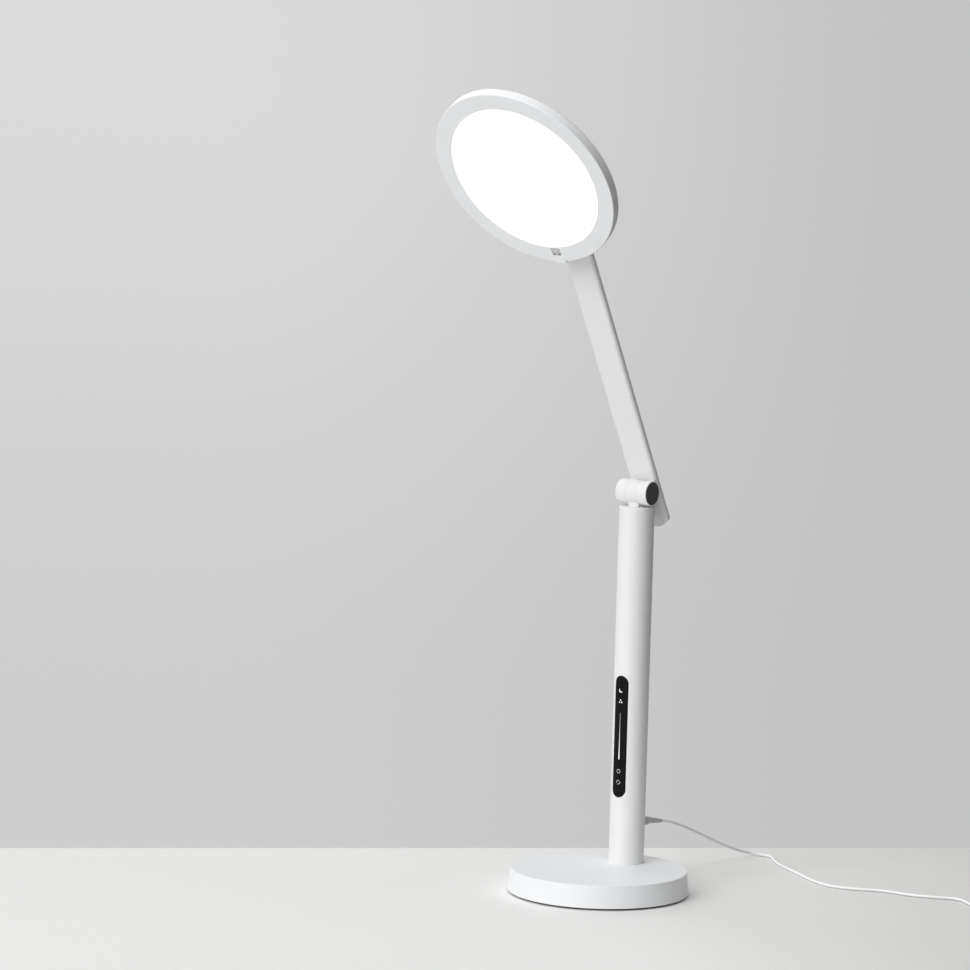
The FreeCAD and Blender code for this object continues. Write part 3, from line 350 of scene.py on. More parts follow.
# Each: colour, darker colour, scale of the lines along X, Y and Z, roughness, bump in metres.
metalFinishes = {
    "zincPlate": ((0.66, 0.66, 0.63), (0.45, 0.45, 0.42), (900.0, 120.0, 900.0), 0.32, 0.00001),
    "blackSteel": ((0.07, 0.07, 0.075), (0.03, 0.03, 0.03), (600.0, 600.0, 90.0), 0.4, 0.00001),
    "sheetAluminium": ((0.8, 0.8, 0.81), (0.66, 0.66, 0.67), (30.0, 1600.0, 1600.0), 0.34, 0.00001),
    "brightBlade": ((0.78, 0.76, 0.7), (0.6, 0.57, 0.5), (1400.0, 60.0, 1400.0), 0.22, 0.000006),
}
materials = {}
for finish, (colour, rough, grain, bump, others) in skinFinishes.items():
    materials[finish] = skinMaterial(finish, colour, rough, grain, bump, **others)
for finish, values in metalFinishes.items():
    materials[finish] = metalMaterial(finish, *values)
materials["litDiffuser"] = diffuserMaterial("litDiffuser", diffuserLook)
materials["litSlider"] = signMaterial("litSlider", sliderLight)
materials["litIcon"] = signMaterial("litIcon", iconLight)
print("materials made:", len(materials))

# What each finish goes on.
finishes = {
    "satinPaint": "pole_tube lower_knuckle upper_knuckle arm_tube lower_barrel_left lower_barrel_right "
                  "upper_barrel_left upper_barrel_right",
    "mouldedWhite": "base_shell pole_cap dc_plug plug_boot adapter_body arm_end_lower arm_end_upper "
                    "head_bezel grip_tab",
    "backShell": "head_back_cover hub_cover",
    "cordVinyl": "cord_lead cord_coil cord_tail",
    "glossBlack": "control_window",
    "capBlack": "lower_end_caps upper_end_caps",
    "smokedLens": "sensor_window",
    "footRubber": "foot_pad",
    "clearGuide": "light_guide",
    "whiteSheet": "reflector_sheet",
    "castIron": "base_weight",
    "milkyNylon": "board_carrier lower_friction_washers upper_friction_washers",
    "darkHousingAndPaintedShadow": "dc_socket",
    "solderMask": "control_board driver_board",
    "lightBoard": "light_strip",
    "wireSleeve": "pole_wires arm_loom",
    "zincPlate": "base_plate base_screws flange_bolts tube_screws lower_tenon_nut upper_tenon_nut "
                 "lower_axle upper_axle lower_spring_washer upper_spring_washer lower_axle_nut "
                 "upper_axle_nut head_screws hub_screws",
    "blackSteel": "lower_arm_screws upper_arm_screws",
    "sheetAluminium": "pole_flange heat_plate",
    "brightBlade": "adapter_blades",
    "litDiffuser": "diffuser",
}
bare = set(nodes)
for finish, names in finishes.items():
    for name in names.split():
        mesh = nodes[name].data
        mesh.materials.clear()
        mesh.materials.append(materials[finish])
        bare.discard(name)
print("nodes without a finish:", sorted(bare))


# Helpers for modelling. Each starts from the active object, which is the piece just added.
def startPiece(name):
    piece = bpy.context.object
    piece.name = piece.data.name = name
    bpy.ops.object.transform_apply(location=True, rotation=True, scale=True)
    return piece


facesAlong = 0.99       # a face looks along an axis if its normal's part along it is more than this


# Both pick functions leave edit mode on, with what was asked for selected.
def pickFaces(piece, wanted):
    bpy.context.tool_settings.mesh_select_mode = (False, False, True)
    bpy.ops.object.mode_set(mode="EDIT")
    bpy.ops.mesh.select_all(action="DESELECT")
    bpy.ops.object.mode_set(mode="OBJECT")
    for face in piece.data.polygons:
        face.select = bool(wanted(face.center, face.normal))
    bpy.ops.object.mode_set(mode="EDIT")


def pickVerts(piece, wanted):
    bpy.context.tool_settings.mesh_select_mode = (True, False, False)
    bpy.ops.object.mode_set(mode="EDIT")
    bpy.ops.mesh.select_all(action="DESELECT")
    bpy.ops.object.mode_set(mode="OBJECT")
    for vert in piece.data.vertices:
        vert.select = bool(wanted(vert.co))
    bpy.ops.object.mode_set(mode="EDIT")


def cutToRing(piece, line):
    pickFaces(piece, lambda centre, normal: True)
    bpy.ops.mesh.inset(thickness=line)
    bpy.ops.mesh.delete(type="FACE")
    bpy.ops.object.mode_set(mode="OBJECT")


surface = {"smoothUpTo": 30, "mergeGap": 0.000002}      # degrees, metres


def finishPiece(piece, finish, body="stand", replaced=()):
    bpy.ops.object.mode_set(mode="EDIT")
    bpy.context.tool_settings.mesh_select_mode = (True, True, True)
    bpy.ops.mesh.select_all(action="SELECT")
    bpy.ops.mesh.remove_doubles(threshold=surface["mergeGap"])
    bpy.ops.mesh.normals_make_consistent(inside=False)
    bpy.ops.object.mode_set(mode="OBJECT")
    bpy.ops.object.shade_smooth_by_angle(angle=math.radians(surface["smoothUpTo"]))
    piece.data.materials.clear()
    piece.data.materials.append(materials[finish])
    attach(piece, body)
    if replaced:
        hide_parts(*replaced)
    piece.select_set(False)
    return piece


# A round piece drawn out along a line: each step is (distance from the start, radius).
def drawOut(name, start, direction, steps, sides):
    along = Vector(direction).normalized()
    turn = along.to_track_quat("Z", "Y").to_euler()
    origin = Vector(start)
    first, radius = steps[0]
    bpy.ops.mesh.primitive_circle_add(vertices=sides, radius=radius, fill_type="NGON",
                                      location=origin + along * first, rotation=turn)
    piece = startPiece(name)
    pickFaces(piece, lambda centre, normal: True)
    for distance, wide in steps[1:]:
        bpy.ops.mesh.extrude_region_move(TRANSFORM_OT_translate={"value": along * (distance - first)})
        scale = wide / radius
        bpy.ops.transform.resize(value=(scale, scale, scale), center_override=origin + along * distance)
        first, radius = distance, wide
    bpy.ops.object.mode_set(mode="OBJECT")      # the starting face stays as the bottom cap
    return piece


cordLook = {
    "diameter": 0.003,
    "length": 1.8,
    "roundSteps": 5,
    "curveSteps": 8,
    "lead": [
        (0, 0.106805, 0.058546), (0.0002, 0.1215, 0.0560), (0.0008, 0.1445, 0.0482), (0.0015, 0.1795, 0.0342),
        (0.0010, 0.2165, 0.0192), (0.0005, 0.2445, 0.0098), (0.0015, 0.265, 0.0038), (0.0113, 0.2748, 0.0016),
        (0.0251, 0.2748, 0.0016), (0.040, 0.2575, 0.0016), (0.058, 0.2415, 0.0016), (0.090, 0.222, 0.0016),
        (0.124, 0.1985, 0.0016), (0.153, 0.1865, 0.0016), (0.180, 0.1925, 0.0016), (0.204, 0.2065, 0.0016),
        (0.238, 0.207, 0.0016), (0.262, 0.2165, 0.0016), (0.282, 0.2265, 0.0016), (0.302, 0.2125, 0.0016),
        (0.320, 0.198, 0.0016), (0.336, 0.1953, 0.0016)],
    "tail": [
        (0.3602, 0.2015, 0.0109), (0.3672, 0.2083, 0.0094), (0.3746, 0.2151, 0.0070),
        (0.3818, 0.2215, 0.0054), (0.3878, 0.2285, 0.0060), (0.3918, 0.2367, 0.0076),
        (0.393, 0.2451, 0.0080), (0.393, 0.2705, 0.0080)],
    "coilMiddle": (0.345, 0.2165),
    "coilOuter": 0.0214,        # radius at the middle of the outermost turn
    "coilInner": 0.0129,
    "coilStart": -95.0,         # degrees
    "coilTurns": 11.139,
    "coilHeights": (0.0016, 0.0047, 0.0078, 0.0109),
    "climb": 0.3,               # share of a turn in which the cord climbs to the next layer
    "perTurn": 15,              # points
}


def coilPoints(look):
    layerTurns = look["coilTurns"] / len(look["coilHeights"])
    stretch = 1 / math.cos(math.pi / look["perTurn"])       # a control point lies outside its curve
    count = round(look["coilTurns"] * look["perTurn"])
    points = []
    for step in range(count):
        turn = look["coilTurns"] * step / count
        layer = int(turn / layerTurns)
        part = turn / layerTurns - layer
        inward = 1 - part if layer % 2 else part
        radius = (look["coilOuter"] + (look["coilInner"] - look["coilOuter"]) * inward) * stretch
        height = look["coilHeights"][layer]
        if layer:
            climbed = min(part * layerTurns / look["climb"], 1)
            height -= (1 - climbed) * (height - look["coilHeights"][layer - 1])
        angle = math.radians(look["coilStart"]) + 2 * math.pi * turn
        points.append((look["coilMiddle"][0] + radius * math.cos(angle),
                       look["coilMiddle"][1] + radius * math.sin(angle), height))
    return points


def addCord(look):
    data = bpy.data.curves.new("supplyCord", "CURVE")
    data.dimensions = "3D"
    data.bevel_depth = look["diameter"] / 2
    data.bevel_resolution = look["roundSteps"]
    data.resolution_u = look["curveSteps"]
    data.use_fill_caps = True
    spline = data.splines.new("NURBS")
    points = look["lead"] + coilPoints(look) + look["tail"]
    spline.points.add(len(points) - 1)
    for place, point in zip(points, spline.points):
        point.co = (*place, 1)
    spline.order_u = 3
    spline.use_endpoint_u = True
    data.materials.append(materials["cordVinyl"])
    cord = bpy.data.objects.new("supplyCord", data)
    scene.collection.objects.link(cord)
    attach(cord, "stand")
    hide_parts("cord_lead", "cord_coil", "cord_tail")
    return cord


supplyCord = addCord(cordLook)
print("cord laid, points:", len(supplyCord.data.splines[0].points))


# The plug in the back of the pole. In nose and tail each pair is a distance from the near end and a share
# of the radius.
plugLook = {
    "start": (0, 0.0651, 0.0623),
    "radius": 0.0042,
    "length": 0.018,
    "nose": ((0, 0.86), (0.0004, 0.95), (0.0009, 1), (0.0045, 1)),
    "tail": ((0.0014, 1), (0.0006, 0.94), (0, 0.82)),
    "ribs": 5,
    "firstRib": 0.0050,
    "ribPitch": 0.0018,
    "groove": 0.0004,           # depth
    "grooveWidth": 0.0007,
    "slope": 0.0002,            # length of a rib's slanting side
    "sides": 48,
}


def addPlug(look):
    radius, length = look["radius"], look["length"]
    steps = [(at, radius * share) for at, share in look["nose"]]
    for rib in range(look["ribs"]):
        at = look["firstRib"] + rib * look["ribPitch"]
        low = radius - look["groove"]
        steps += [(at, low), (at + look["grooveWidth"], low),
                  (at + look["grooveWidth"] + look["slope"], radius),
                  (at + look["ribPitch"] - look["slope"], radius)]
    steps += [(length - back, radius * share) for back, share in look["tail"]]
    return drawOut("plugGrip", look["start"], (0, 1, 0), steps, look["sides"])


# The strain relief behind it, tapered and ribbed. In ribShape each pair is a share of the pitch and a share
# of the groove's depth, and in tip a distance from the end and what is taken off the radius.
reliefLook = {
    "start": (0, 0.0825, 0.0623),
    "end": cordLook["lead"][0],
    "thick": 0.0034,            # radius at its start
    "thin": 0.0020,             # radius at its end
    "ribs": 7,
    "ribShape": ((0.0, 1), (0.28, 1), (0.34, 0), (0.94, 0)),
    "plainEnd": 0.4,            # length behind the last rib, in pitches
    "groove": 0.0005,
    "leastRadius": 0.0016,
    "tip": ((0.0008, 0), (0.0002, 0.0003)),
    "sides": 36,
}


def addRelief(look):
    start, end = Vector(look["start"]), Vector(look["end"])
    length = (end - start).length
    pitch = length / (look["ribs"] + look["plainEnd"])
    steps = []
    for rib in range(look["ribs"]):
        for part, deep in look["ribShape"]:
            at = (rib + part) * pitch
            radius = look["thick"] + (look["thin"] - look["thick"]) * at / length
            steps.append((at, max(radius - deep * look["groove"], look["leastRadius"])))
    steps += [(length - back, look["thin"] - less) for back, less in look["tip"]]
    return drawOut("strainRelief", start, end - start, steps, look["sides"])


# Both get a mid grey that is partly painted shade, the shadow of the pole on them.
plugGrip = finishPiece(addPlug(plugLook), "plugVinylPaintedShade", replaced=["dc_plug"])
strainRelief = finishPiece(addRelief(reliefLook), "plugVinylPaintedShade", replaced=["plug_boot"])
print("plug and strain relief made")


adapterLook = {
    "low": (0.376, 0.2651, 0.0),
    "high": (0.410, 0.3211, 0.026),
    "edge": 0.004,              # rounding
    "edgeSteps": 5,
    "seam": 0.0006,             # width of the parting line
    "seamDepth": 0.0004,
    "gripRibs": 9,
    "ribPitch": 0.0022,
    "ribShare": 0.5,            # share of the pitch that is pressed in
    "ribMargin": 0.0002,
    "ribDepth": 0.0004,
    "plateMargin": 0.0035,      # round the bare field on the top
    "plateDepth": 0.0003,
    "reach": 0.0001,            # a face belongs to a side if it is this near to it
}


def addAdapter(look):
    low, high = Vector(look["low"]), Vector(look["high"])
    middle, size = (low + high) / 2, high - low
    bpy.ops.mesh.primitive_cube_add(size=1, location=middle, scale=size)
    piece = startPiece("adapterCase")
    bpy.ops.object.mode_set(mode="EDIT")
    bpy.ops.mesh.select_all(action="SELECT")
    bpy.ops.mesh.bevel(offset=look["edge"], segments=look["edgeSteps"], affect="EDGES")
    for height in (middle.z - look["seam"] / 2, middle.z + look["seam"] / 2):
        bpy.ops.mesh.select_all(action="SELECT")
        bpy.ops.mesh.bisect(plane_co=(0, 0, height), plane_no=(0, 0, 1))
    firstRib = middle.y - look["ribPitch"] * look["gripRibs"] / 2
    for rib in range(look["gripRibs"]):
        for edge in (0, look["ribShare"]):
            place = firstRib + (rib + edge) * look["ribPitch"]
            bpy.ops.mesh.select_all(action="SELECT")
            bpy.ops.mesh.bisect(plane_co=(0, place, 0), plane_no=(0, 1, 0))
    bpy.ops.object.mode_set(mode="OBJECT")
    # the parting line between the two halves
    pickFaces(piece, lambda centre, normal: abs(centre.z - middle.z) < look["seam"])
    bpy.ops.mesh.extrude_region_move()
    deep = 2 * look["seamDepth"]
    bpy.ops.transform.resize(value=(1 - deep / size.x, 1 - deep / size.y, 1), center_override=middle)
    bpy.ops.object.mode_set(mode="OBJECT")
    # finger ribs pressed into both long sides
    for side in (-1, 1):
        def inRib(centre, normal):
            step = (centre.y - firstRib) / look["ribPitch"]
            near = abs(centre.x - middle.x - side * size.x / 2) < look["reach"]
            onSide = near and normal.x * side > facesAlong
            return onSide and 0 < step < look["gripRibs"] and step % 1 < look["ribShare"]

        pickFaces(piece, inRib)
        bpy.ops.mesh.inset(thickness=look["ribMargin"], use_individual=False)
        bpy.ops.mesh.extrude_region_move(TRANSFORM_OT_translate={"value": (-side * look["ribDepth"], 0, 0)})
        bpy.ops.object.mode_set(mode="OBJECT")
    # a shallow bare field on the top, where the rating plate would be
    pickFaces(piece, lambda centre, normal: normal.z > facesAlong and centre.z > high.z - look["reach"])
    bpy.ops.mesh.inset(thickness=look["plateMargin"])
    bpy.ops.mesh.extrude_region_move(TRANSFORM_OT_translate={"value": (0, 0, -look["plateDepth"])})
    bpy.ops.object.mode_set(mode="OBJECT")
    return piece


# The adapter's cord gland. In collar each pair is a distance from the case and a radius, in ribShape a share
# of the pitch and a share of the groove's depth, and in tip a distance from the end and a radius.
glandLook = {
    "start": (0.393, 0.2651, 0.008),
    "end": 0.2451,              # y
    "collar": ((-0.001, 0.0046), (0.0012, 0.0046), (0.0018, 0.0040)),
    "ribs": 6,
    "firstRib": 0.0022,
    "plain": 0.003,             # length without ribs
    "ribShape": ((0.0, 1), (0.3, 1), (0.38, 0), (0.95, 0)),
    "thick": 0.0032,
    "thin": 0.0020,
    "groove": 0.0005,
    "tip": ((0.0003, 0.0019), (0, 0.0017)),
    "sides": 36,
}


def addGland(look):
    start = Vector(look["start"])
    length = start.y - look["end"]
    pitch = (length - look["plain"]) / look["ribs"]
    steps = list(look["collar"])
    for rib in range(look["ribs"]):
        at = look["firstRib"] + rib * pitch
        radius = look["thick"] + (look["thin"] - look["thick"]) * at / length
        steps += [(at + pitch * part, radius - deep * look["groove"]) for part, deep in look["ribShape"]]
    steps += [(length - back, radius) for back, radius in look["tip"]]
    return drawOut("adapterGland", start, (0, -1, 0), steps, look["sides"])


adapterCase = finishPiece(addAdapter(adapterLook), "mouldedWhite",
                          replaced=["adapter_body"])
adapterGland = finishPiece(addGland(glandLook), "cordVinyl")


tieLook = {
    "middle": cordLook["coilMiddle"],
    "angle": 62.0,              # where it goes round the coil's turns
    "inner": 0.0111,            # from the coil's middle
    "outer": 0.0232,
    "low": 0.0004,
    "high": 0.0128,
    "width": 0.007,
    "thick": 0.0006,
    "corner": 0.0028,
    "cornerSteps": 5,
}


# A strap round the coil: a box open at two sides, rounded, and given its thickness.
def addTie(look):
    centre = ((look["inner"] + look["outer"]) / 2, 0, (look["low"] + look["high"]) / 2)
    size = (look["outer"] - look["inner"], look["width"], look["high"] - look["low"])
    bpy.ops.mesh.primitive_cube_add(size=1, location=centre, scale=size)
    piece = startPiece("coilTie")
    pickFaces(piece, lambda centre, normal: abs(normal.y) > facesAlong)
    bpy.ops.mesh.delete(type="FACE")
    bpy.ops.mesh.select_all(action="SELECT")
    bpy.ops.mesh.bevel(offset=look["corner"], segments=look["cornerSteps"], affect="EDGES")
    bpy.ops.object.mode_set(mode="OBJECT")
    wall = piece.modifiers.new("wall", "SOLIDIFY")
    wall.thickness = look["thick"]
    wall.offset = 0
    bpy.ops.object.modifier_apply(modifier=wall.name)
    bpy.ops.object.mode_set(mode="EDIT")
    bpy.ops.mesh.select_all(action="SELECT")
    middle = (*look["middle"], 0)
    bpy.ops.transform.translate(value=middle)
    bpy.ops.transform.rotate(value=-math.radians(look["angle"]), orient_axis="Z", center_override=middle)
    bpy.ops.object.mode_set(mode="OBJECT")
    return piece


coilTie = finishPiece(addTie(tieLook), "wireSleeve")
print("adapter and tie made")


# The signs on the touch strip are drawn flat at y = 0 and then laid on the round window.
stripLook = {
    "poleY": 0.047,
    "radius": 0.0179,           # front face of the window
    "lift": 0.00003,
    "slice": 0.0004,            # width of the slices that a sign is cut into
}
moonLook = {
    "height": 0.2007,
    "radius": 0.0022,
    "cut": 0.25,                # where the inner arc begins, as a share of the radius
    "fold": 0.9,                # how far the inner arc is turned back
    "turn": 48.0,
    "sides": 48,
}
dotsLook = {
    "height": 0.1896,
    "places": ((0, 0.0013), (-0.0013, -0.0009), (0.0013, -0.0009)),
    "radius": 0.00074,
    "sides": 24,
}
sliderLook = {
    "low": 0.1309,
    "high": 0.1779,
    "width": 0.0011,
    "thick": 0.0001,            # of the bar it is cut from, of which only the front face stays
    "taper": 0.6,               # width at the top, as a share of the width below
    "corner": 0.0004,
    "cornerSteps": 3,
}
ringLook = {"height": 0.1190, "radius": 0.0021, "line": 0.0005, "sides": 48}
arrowsLook = {
    "height": 0.1079,
    "radius": 0.0022,
    "line": 0.00062,
    "sides": 48,
    "gap": (22, 58),            # degrees, once on each side
    "headReach": 4,             # degrees about the gap's end
    "headScale": 1.9,
}


def flatDisc(name, look, x=0, z=0):
    bpy.ops.mesh.primitive_circle_add(vertices=look["sides"], radius=look["radius"], fill_type="NGON",
                                      location=(x, 0, look["height"] + z), rotation=(math.pi / 2, 0, 0))
    return startPiece(name)


def addMoon(look):
    piece = flatDisc("moonSign", look)
    # the right-hand arc is turned inside to make the crescent
    edge = look["radius"] * look["cut"]
    pickVerts(piece, lambda place: place.x > edge)
    bpy.ops.transform.resize(value=(-look["fold"], 1, 1), center_override=(edge, 0, look["height"]))
    bpy.ops.mesh.select_all(action="SELECT")
    bpy.ops.transform.rotate(value=math.radians(look["turn"]), orient_axis="Y",
                             center_override=(0, 0, look["height"]))
    bpy.ops.object.mode_set(mode="OBJECT")
    return piece


def addDots(look):
    return [flatDisc("toneDot%d" % number, look, x, z) for number, (x, z) in enumerate(look["places"], 1)]


def addSlider(look):
    low, high = look["low"], look["high"]
    middle = (low + high) / 2
    bpy.ops.mesh.primitive_cube_add(size=1, location=(0, 0, middle),
                                    scale=(look["width"], look["thick"], high - low))
    piece = startPiece("sliderLine")
    pickFaces(piece, lambda centre, normal: normal.y > -facesAlong)
    bpy.ops.mesh.delete(type="FACE")
    bpy.ops.mesh.select_all(action="SELECT")
    bpy.ops.mesh.bevel(offset=look["corner"], segments=look["cornerSteps"], affect="VERTICES")
    bpy.ops.object.mode_set(mode="OBJECT")
    pickVerts(piece, lambda place: place.z > middle)
    bpy.ops.transform.resize(value=(look["taper"], 1, 1), center_override=(0, 0, high))
    bpy.ops.object.mode_set(mode="OBJECT")
    return piece


def addRing(name, look):
    piece = flatDisc(name, look)
    cutToRing(piece, look["line"])
    return piece


# A ring that is opened in two places, with a wide head at one end of each half.
def addArrows(look):
    piece = addRing("turnArrows", look)
    gapStart, gapEnd = look["gap"]

    def inGap(centre, normal):
        angle = math.degrees(math.atan2(centre.z - look["height"], centre.x)) % 180
        return gapStart < angle < gapEnd

    pickFaces(piece, inGap)
    bpy.ops.mesh.delete(type="FACE")
    bpy.ops.object.mode_set(mode="OBJECT")
    middle = look["radius"] - look["line"] / 2
    for side in (0, 180):
        angle = math.radians(gapEnd + side)

        def atEnd(place):
            apart = math.atan2(place.z - look["height"], place.x) - angle
            return abs((apart + math.pi) % (2 * math.pi) - math.pi) < math.radians(look["headReach"])

        pickVerts(piece, atEnd)
        head = (middle * math.cos(angle), 0, look["height"] + middle * math.sin(angle))
        bpy.ops.transform.resize(value=(look["headScale"], 1, look["headScale"]), center_override=head)
        bpy.ops.object.mode_set(mode="OBJECT")
    return piece


# A sign is cut into narrow slices, so that it can follow the round window.
def layOnStrip(piece, look):
    bpy.ops.object.select_all(action="DESELECT")
    piece.select_set(True)
    bpy.context.view_layer.objects.active = piece
    wide = max(abs(vert.co.x) for vert in piece.data.vertices)
    bpy.ops.object.mode_set(mode="EDIT")
    bpy.ops.mesh.select_all(action="SELECT")
    bpy.ops.mesh.quads_convert_to_tris()
    place = -wide + look["slice"]
    while place < wide:
        bpy.ops.mesh.select_all(action="SELECT")
        bpy.ops.mesh.bisect(plane_co=(place, 0, 0), plane_no=(1, 0, 0))
        place += look["slice"]
    bpy.ops.mesh.select_all(action="SELECT")
    bpy.ops.mesh.quads_convert_to_tris()
    bpy.ops.object.mode_set(mode="OBJECT")
    for vert in piece.data.vertices:
        vert.co.y = look["poleY"] - math.sqrt((look["radius"] + look["lift"]) ** 2 - vert.co.x ** 2)


signs = [addMoon(moonLook), *addDots(dotsLook), addSlider(sliderLook), addRing("powerRing", ringLook),
         addArrows(arrowsLook)]
for sign in signs:
    layOnStrip(sign, stripLook)
    sign.data.materials.clear()
    sign.data.materials.append(materials["litSlider" if sign.name == "sliderLine" else "litIcon"])
    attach(sign, "stand")
    sign.select_set(False)
print("signs laid on the touch strip")


# The sensor shows as an arch and two dark spots, which lie on its small window in the ring. The dark spots
# are painted shadow, the shade in the lower corners of the window's recess. Places are right and down from
# the window's middle.
sensorLook = {
    "window": (0.0033, -0.105082, 0.640817),    # middle of the window, on the ring's face
    "nod": 126.0,                               # turn of the face about X, degrees
    "lift": 0.00003,
    "archPlace": (0.0006, 0.0006),
    "archRadius": 0.0030,
    "archLine": 0.0006,
    "archSides": 32,
    "shadowSpots": ((-0.0033, 0.0028, 0.0009), (0.0030, 0.0026, 0.0010)),      # right, down, radius
    "shadowSpotSides": 20,
}


def onFace(look, right, down):
    nod = math.radians(look["nod"])
    place = Vector(look["window"]) + Vector((right, -down * math.cos(nod), -down * math.sin(nod)))
    return place + Vector((0, -math.sin(nod), math.cos(nod))) * look["lift"]


def faceDisc(name, look, place, radius, sides):
    bpy.ops.mesh.primitive_circle_add(vertices=sides, radius=radius, fill_type="NGON", location=place,
                                      rotation=(math.radians(look["nod"]), 0, 0))
    return startPiece(name)


def addSensor(look):
    place = onFace(look, *look["archPlace"])
    arch = faceDisc("sensorArch", look, place, look["archRadius"], look["archSides"])
    cutToRing(arch, look["archLine"])
    # only the upper half of the ring stays
    pickFaces(arch, lambda centre, normal: centre.z < place.z)
    bpy.ops.mesh.delete(type="FACE")
    bpy.ops.object.mode_set(mode="OBJECT")
    finishPiece(arch, "mouldedWhite", "head")
    # The two dark spots are painted shadow: the shade that gathers in the lower corners of the recess.
    for number, (right, down, radius) in enumerate(look["shadowSpots"], 1):
        eye = faceDisc("sensorShadowSpot%d" % number, look, onFace(look, right, down), radius, look["shadowSpotSides"])
        finishPiece(eye, "darkHousingAndPaintedShadow", "head")


addSensor(sensorLook)
print("sensor made")


# The studio is laid out along the first view: its right, and the way it looks, both level.
studioTurn = math.radians(camera["turn"])
rightward = Vector((math.cos(studioTurn), math.sin(studioTurn), 0))
forward = Vector((-math.sin(studioTurn), math.cos(studioTurn), 0))
lampFront = Vector((0, -1, 0))
upward = Vector((0, 0, 1))


# True for rays that show the table or backdrop itself, in the view, in gloss or through glass.
def seenDirectly(tree):
    path = addNode(tree, "ShaderNodeLightPath")
    mirrored = mathNode(tree, "MAXIMUM", path.outputs["Is Glossy Ray"], path.outputs["Is Transmission Ray"])
    return mathNode(tree, "MAXIMUM", path.outputs["Is Camera Ray"], mirrored)


tableLook = {
    "size": 9.0,
    "edgePoint": (-0.2206, 0.1017),         # a point of its back edge
    "edgeTurn": 45.5,
    "colour": (0.85, 0.85, 0.84),
    "paintedShadeColour": (0.67, 0.665, 0.655),      # painted shade: the colour the table darkens to on the right
    "paintedShadeFade": (0.03, 0.42),                   # metres to the right, over which the painted shade comes in
    "dimColour": (0.10, 0.10, 0.10),        # what the lamp gets back from it on the right
    "dimFade": (0.06, 0.60),
    "clouds": 3.0,
    "toneSpread": 0.01,
    "rough": 0.6,
    "specular": 0.2,
}


def addTable(look):
    bpy.ops.mesh.primitive_plane_add(size=look["size"], location=(0, 0, 0))
    table = bpy.context.object
    table.name = table.data.name = "tableTop"
    turn = math.radians(look["edgeTurn"])
    bpy.ops.object.mode_set(mode="EDIT")
    bpy.ops.mesh.select_all(action="SELECT")
    bpy.ops.mesh.bisect(plane_co=(*look["edgePoint"], 0), plane_no=(-math.sin(turn), math.cos(turn), 0),
                        clear_outer=True)
    bpy.ops.object.mode_set(mode="OBJECT")
    material, tree, shader = newMaterial("tableBoard", Roughness=look["rough"],
                                         **{"Specular IOR Level": look["specular"]})
    skin = useGroup(tree, "skin", {"Colour": (*look["colour"], 1), "Cloud Size": look["clouds"],
                                   "Tone Spread": look["toneSpread"]})
    right = dotProduct(tree, objectPoint(tree), rightward)
    # The table's colour darkens towards the right: painted shade, standing in for the light that falls off
    # across the table.
    tone = mixColours(tree, mapRange(tree, right, *look["paintedShadeFade"]), skin.outputs["Colour"],
                      (*look["paintedShadeColour"], 1))
    # light that leaves the table for the object falls off to the right, as on a table of real size
    given = mixColours(tree, mapRange(tree, right, *look["dimFade"]), tone, (*look["dimColour"], 1))
    shown = mixColours(tree, seenDirectly(tree), given, tone)
    tree.links.new(shown, shader.inputs["Base Color"])
    table.data.materials.append(material)
    table.select_set(False)


# In rise, span and screen the numbers are how far a ray points up, to the right or forward.
worldLook = {
    "high": (0.705, 0.705, 0.705),
    "low": (0.61, 0.61, 0.61),
    "rise": (-0.16, 0.0),
    "right": (0.545, 0.545, 0.545),
    "span": (-0.07, 0.13),
    "screenTone": (0.42, 0.42, 0.42),
    "screenRight": (0.15, 0.45),
    "screenForward": (-0.5, 0.0),
    "soft": ((-rightward, 0.06), (lampFront, 0.70), (forward, 0.58), (upward, 0.38)),
    "softPower": 2.0,
}


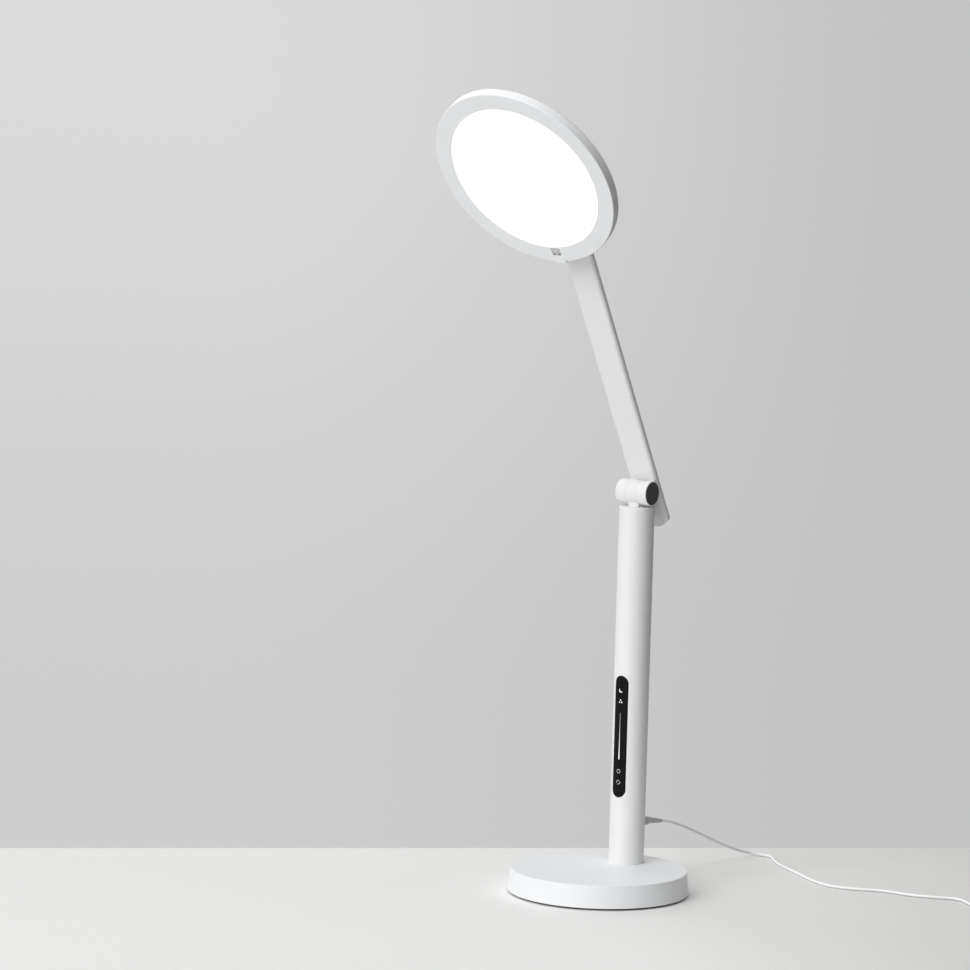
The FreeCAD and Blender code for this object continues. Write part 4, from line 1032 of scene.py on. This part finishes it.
# Camera, glossy and see-through rays meet a plain backdrop: paler on the left and higher up, with a dark
# screen off to the right. All other rays meet soft light from the left, the lamp's front, behind and above.
def addWorld(look):
    world = bpy.data.worlds.new("studioWorld")
    scene.world = world
    world.use_nodes = True
    tree = world.node_tree
    tree.nodes.clear()
    ray = addNode(tree, "ShaderNodeTexCoord").outputs["Generated"]

    def ramp(axis, span):
        return mapRange(tree, dotProduct(tree, ray, axis), *span, kind="SMOOTHSTEP")

    seen = mixColours(tree, ramp(upward, look["rise"]), (*look["low"], 1), (*look["high"], 1))
    seen = mixColours(tree, ramp(rightward, look["span"]), seen, (*look["right"], 1))
    screen = mathNode(tree, "MULTIPLY", ramp(rightward, look["screenRight"]),
                      ramp(forward, look["screenForward"]))
    seen = mixColours(tree, screen, seen, (*look["screenTone"], 1))

    soft = 0.0
    for axis, strength in look["soft"]:
        facing = mathNode(tree, "MAXIMUM", dotProduct(tree, ray, axis))
        lobe = mathNode(tree, "POWER", facing, look["softPower"])
        soft = mathNode(tree, "MULTIPLY_ADD", lobe, strength, soft)

    backdrop = addNode(tree, "ShaderNodeBackground", [("Color", seen), ("Strength", 1.0)])
    light = addNode(tree, "ShaderNodeBackground", [("Color", (1, 1, 1, 1)), ("Strength", soft)])
    both = addNode(tree, "ShaderNodeMixShader", [(0, seenDirectly(tree)), (1, light.outputs[0]),
                                                 (2, backdrop.outputs[0])])
    tree.links.new(both.outputs[0], addNode(tree, "ShaderNodeOutputWorld").inputs["Surface"])


lightLook = {"aim": (0, 0, 0.4), "distance": 10.0, "size": 6.2}
# Each light: degrees round the desk lamp, degrees up, watts.
lights = {
    "rearSoft": (-105, 35, 198.0),
    "frontSoft": (-4, 23, 470.0),
    "topSoft": (10, 75, 342.0),
}


def addLight(name, look, turn, height, power):
    back = outward(turn, height)
    bpy.ops.object.light_add(type="AREA", location=Vector(look["aim"]) + back * look["distance"])
    light = bpy.context.object
    light.name = name
    light.rotation_mode = "QUATERNION"
    light.rotation_quaternion = back.to_track_quat("Z", "Y")
    light.data.size = look["size"]
    light.data.energy = power
    light.select_set(False)


addTable(tableLook)
addWorld(worldLook)
for name, values in lights.items():
    addLight(name, lightLook, *values)
print("studio set")
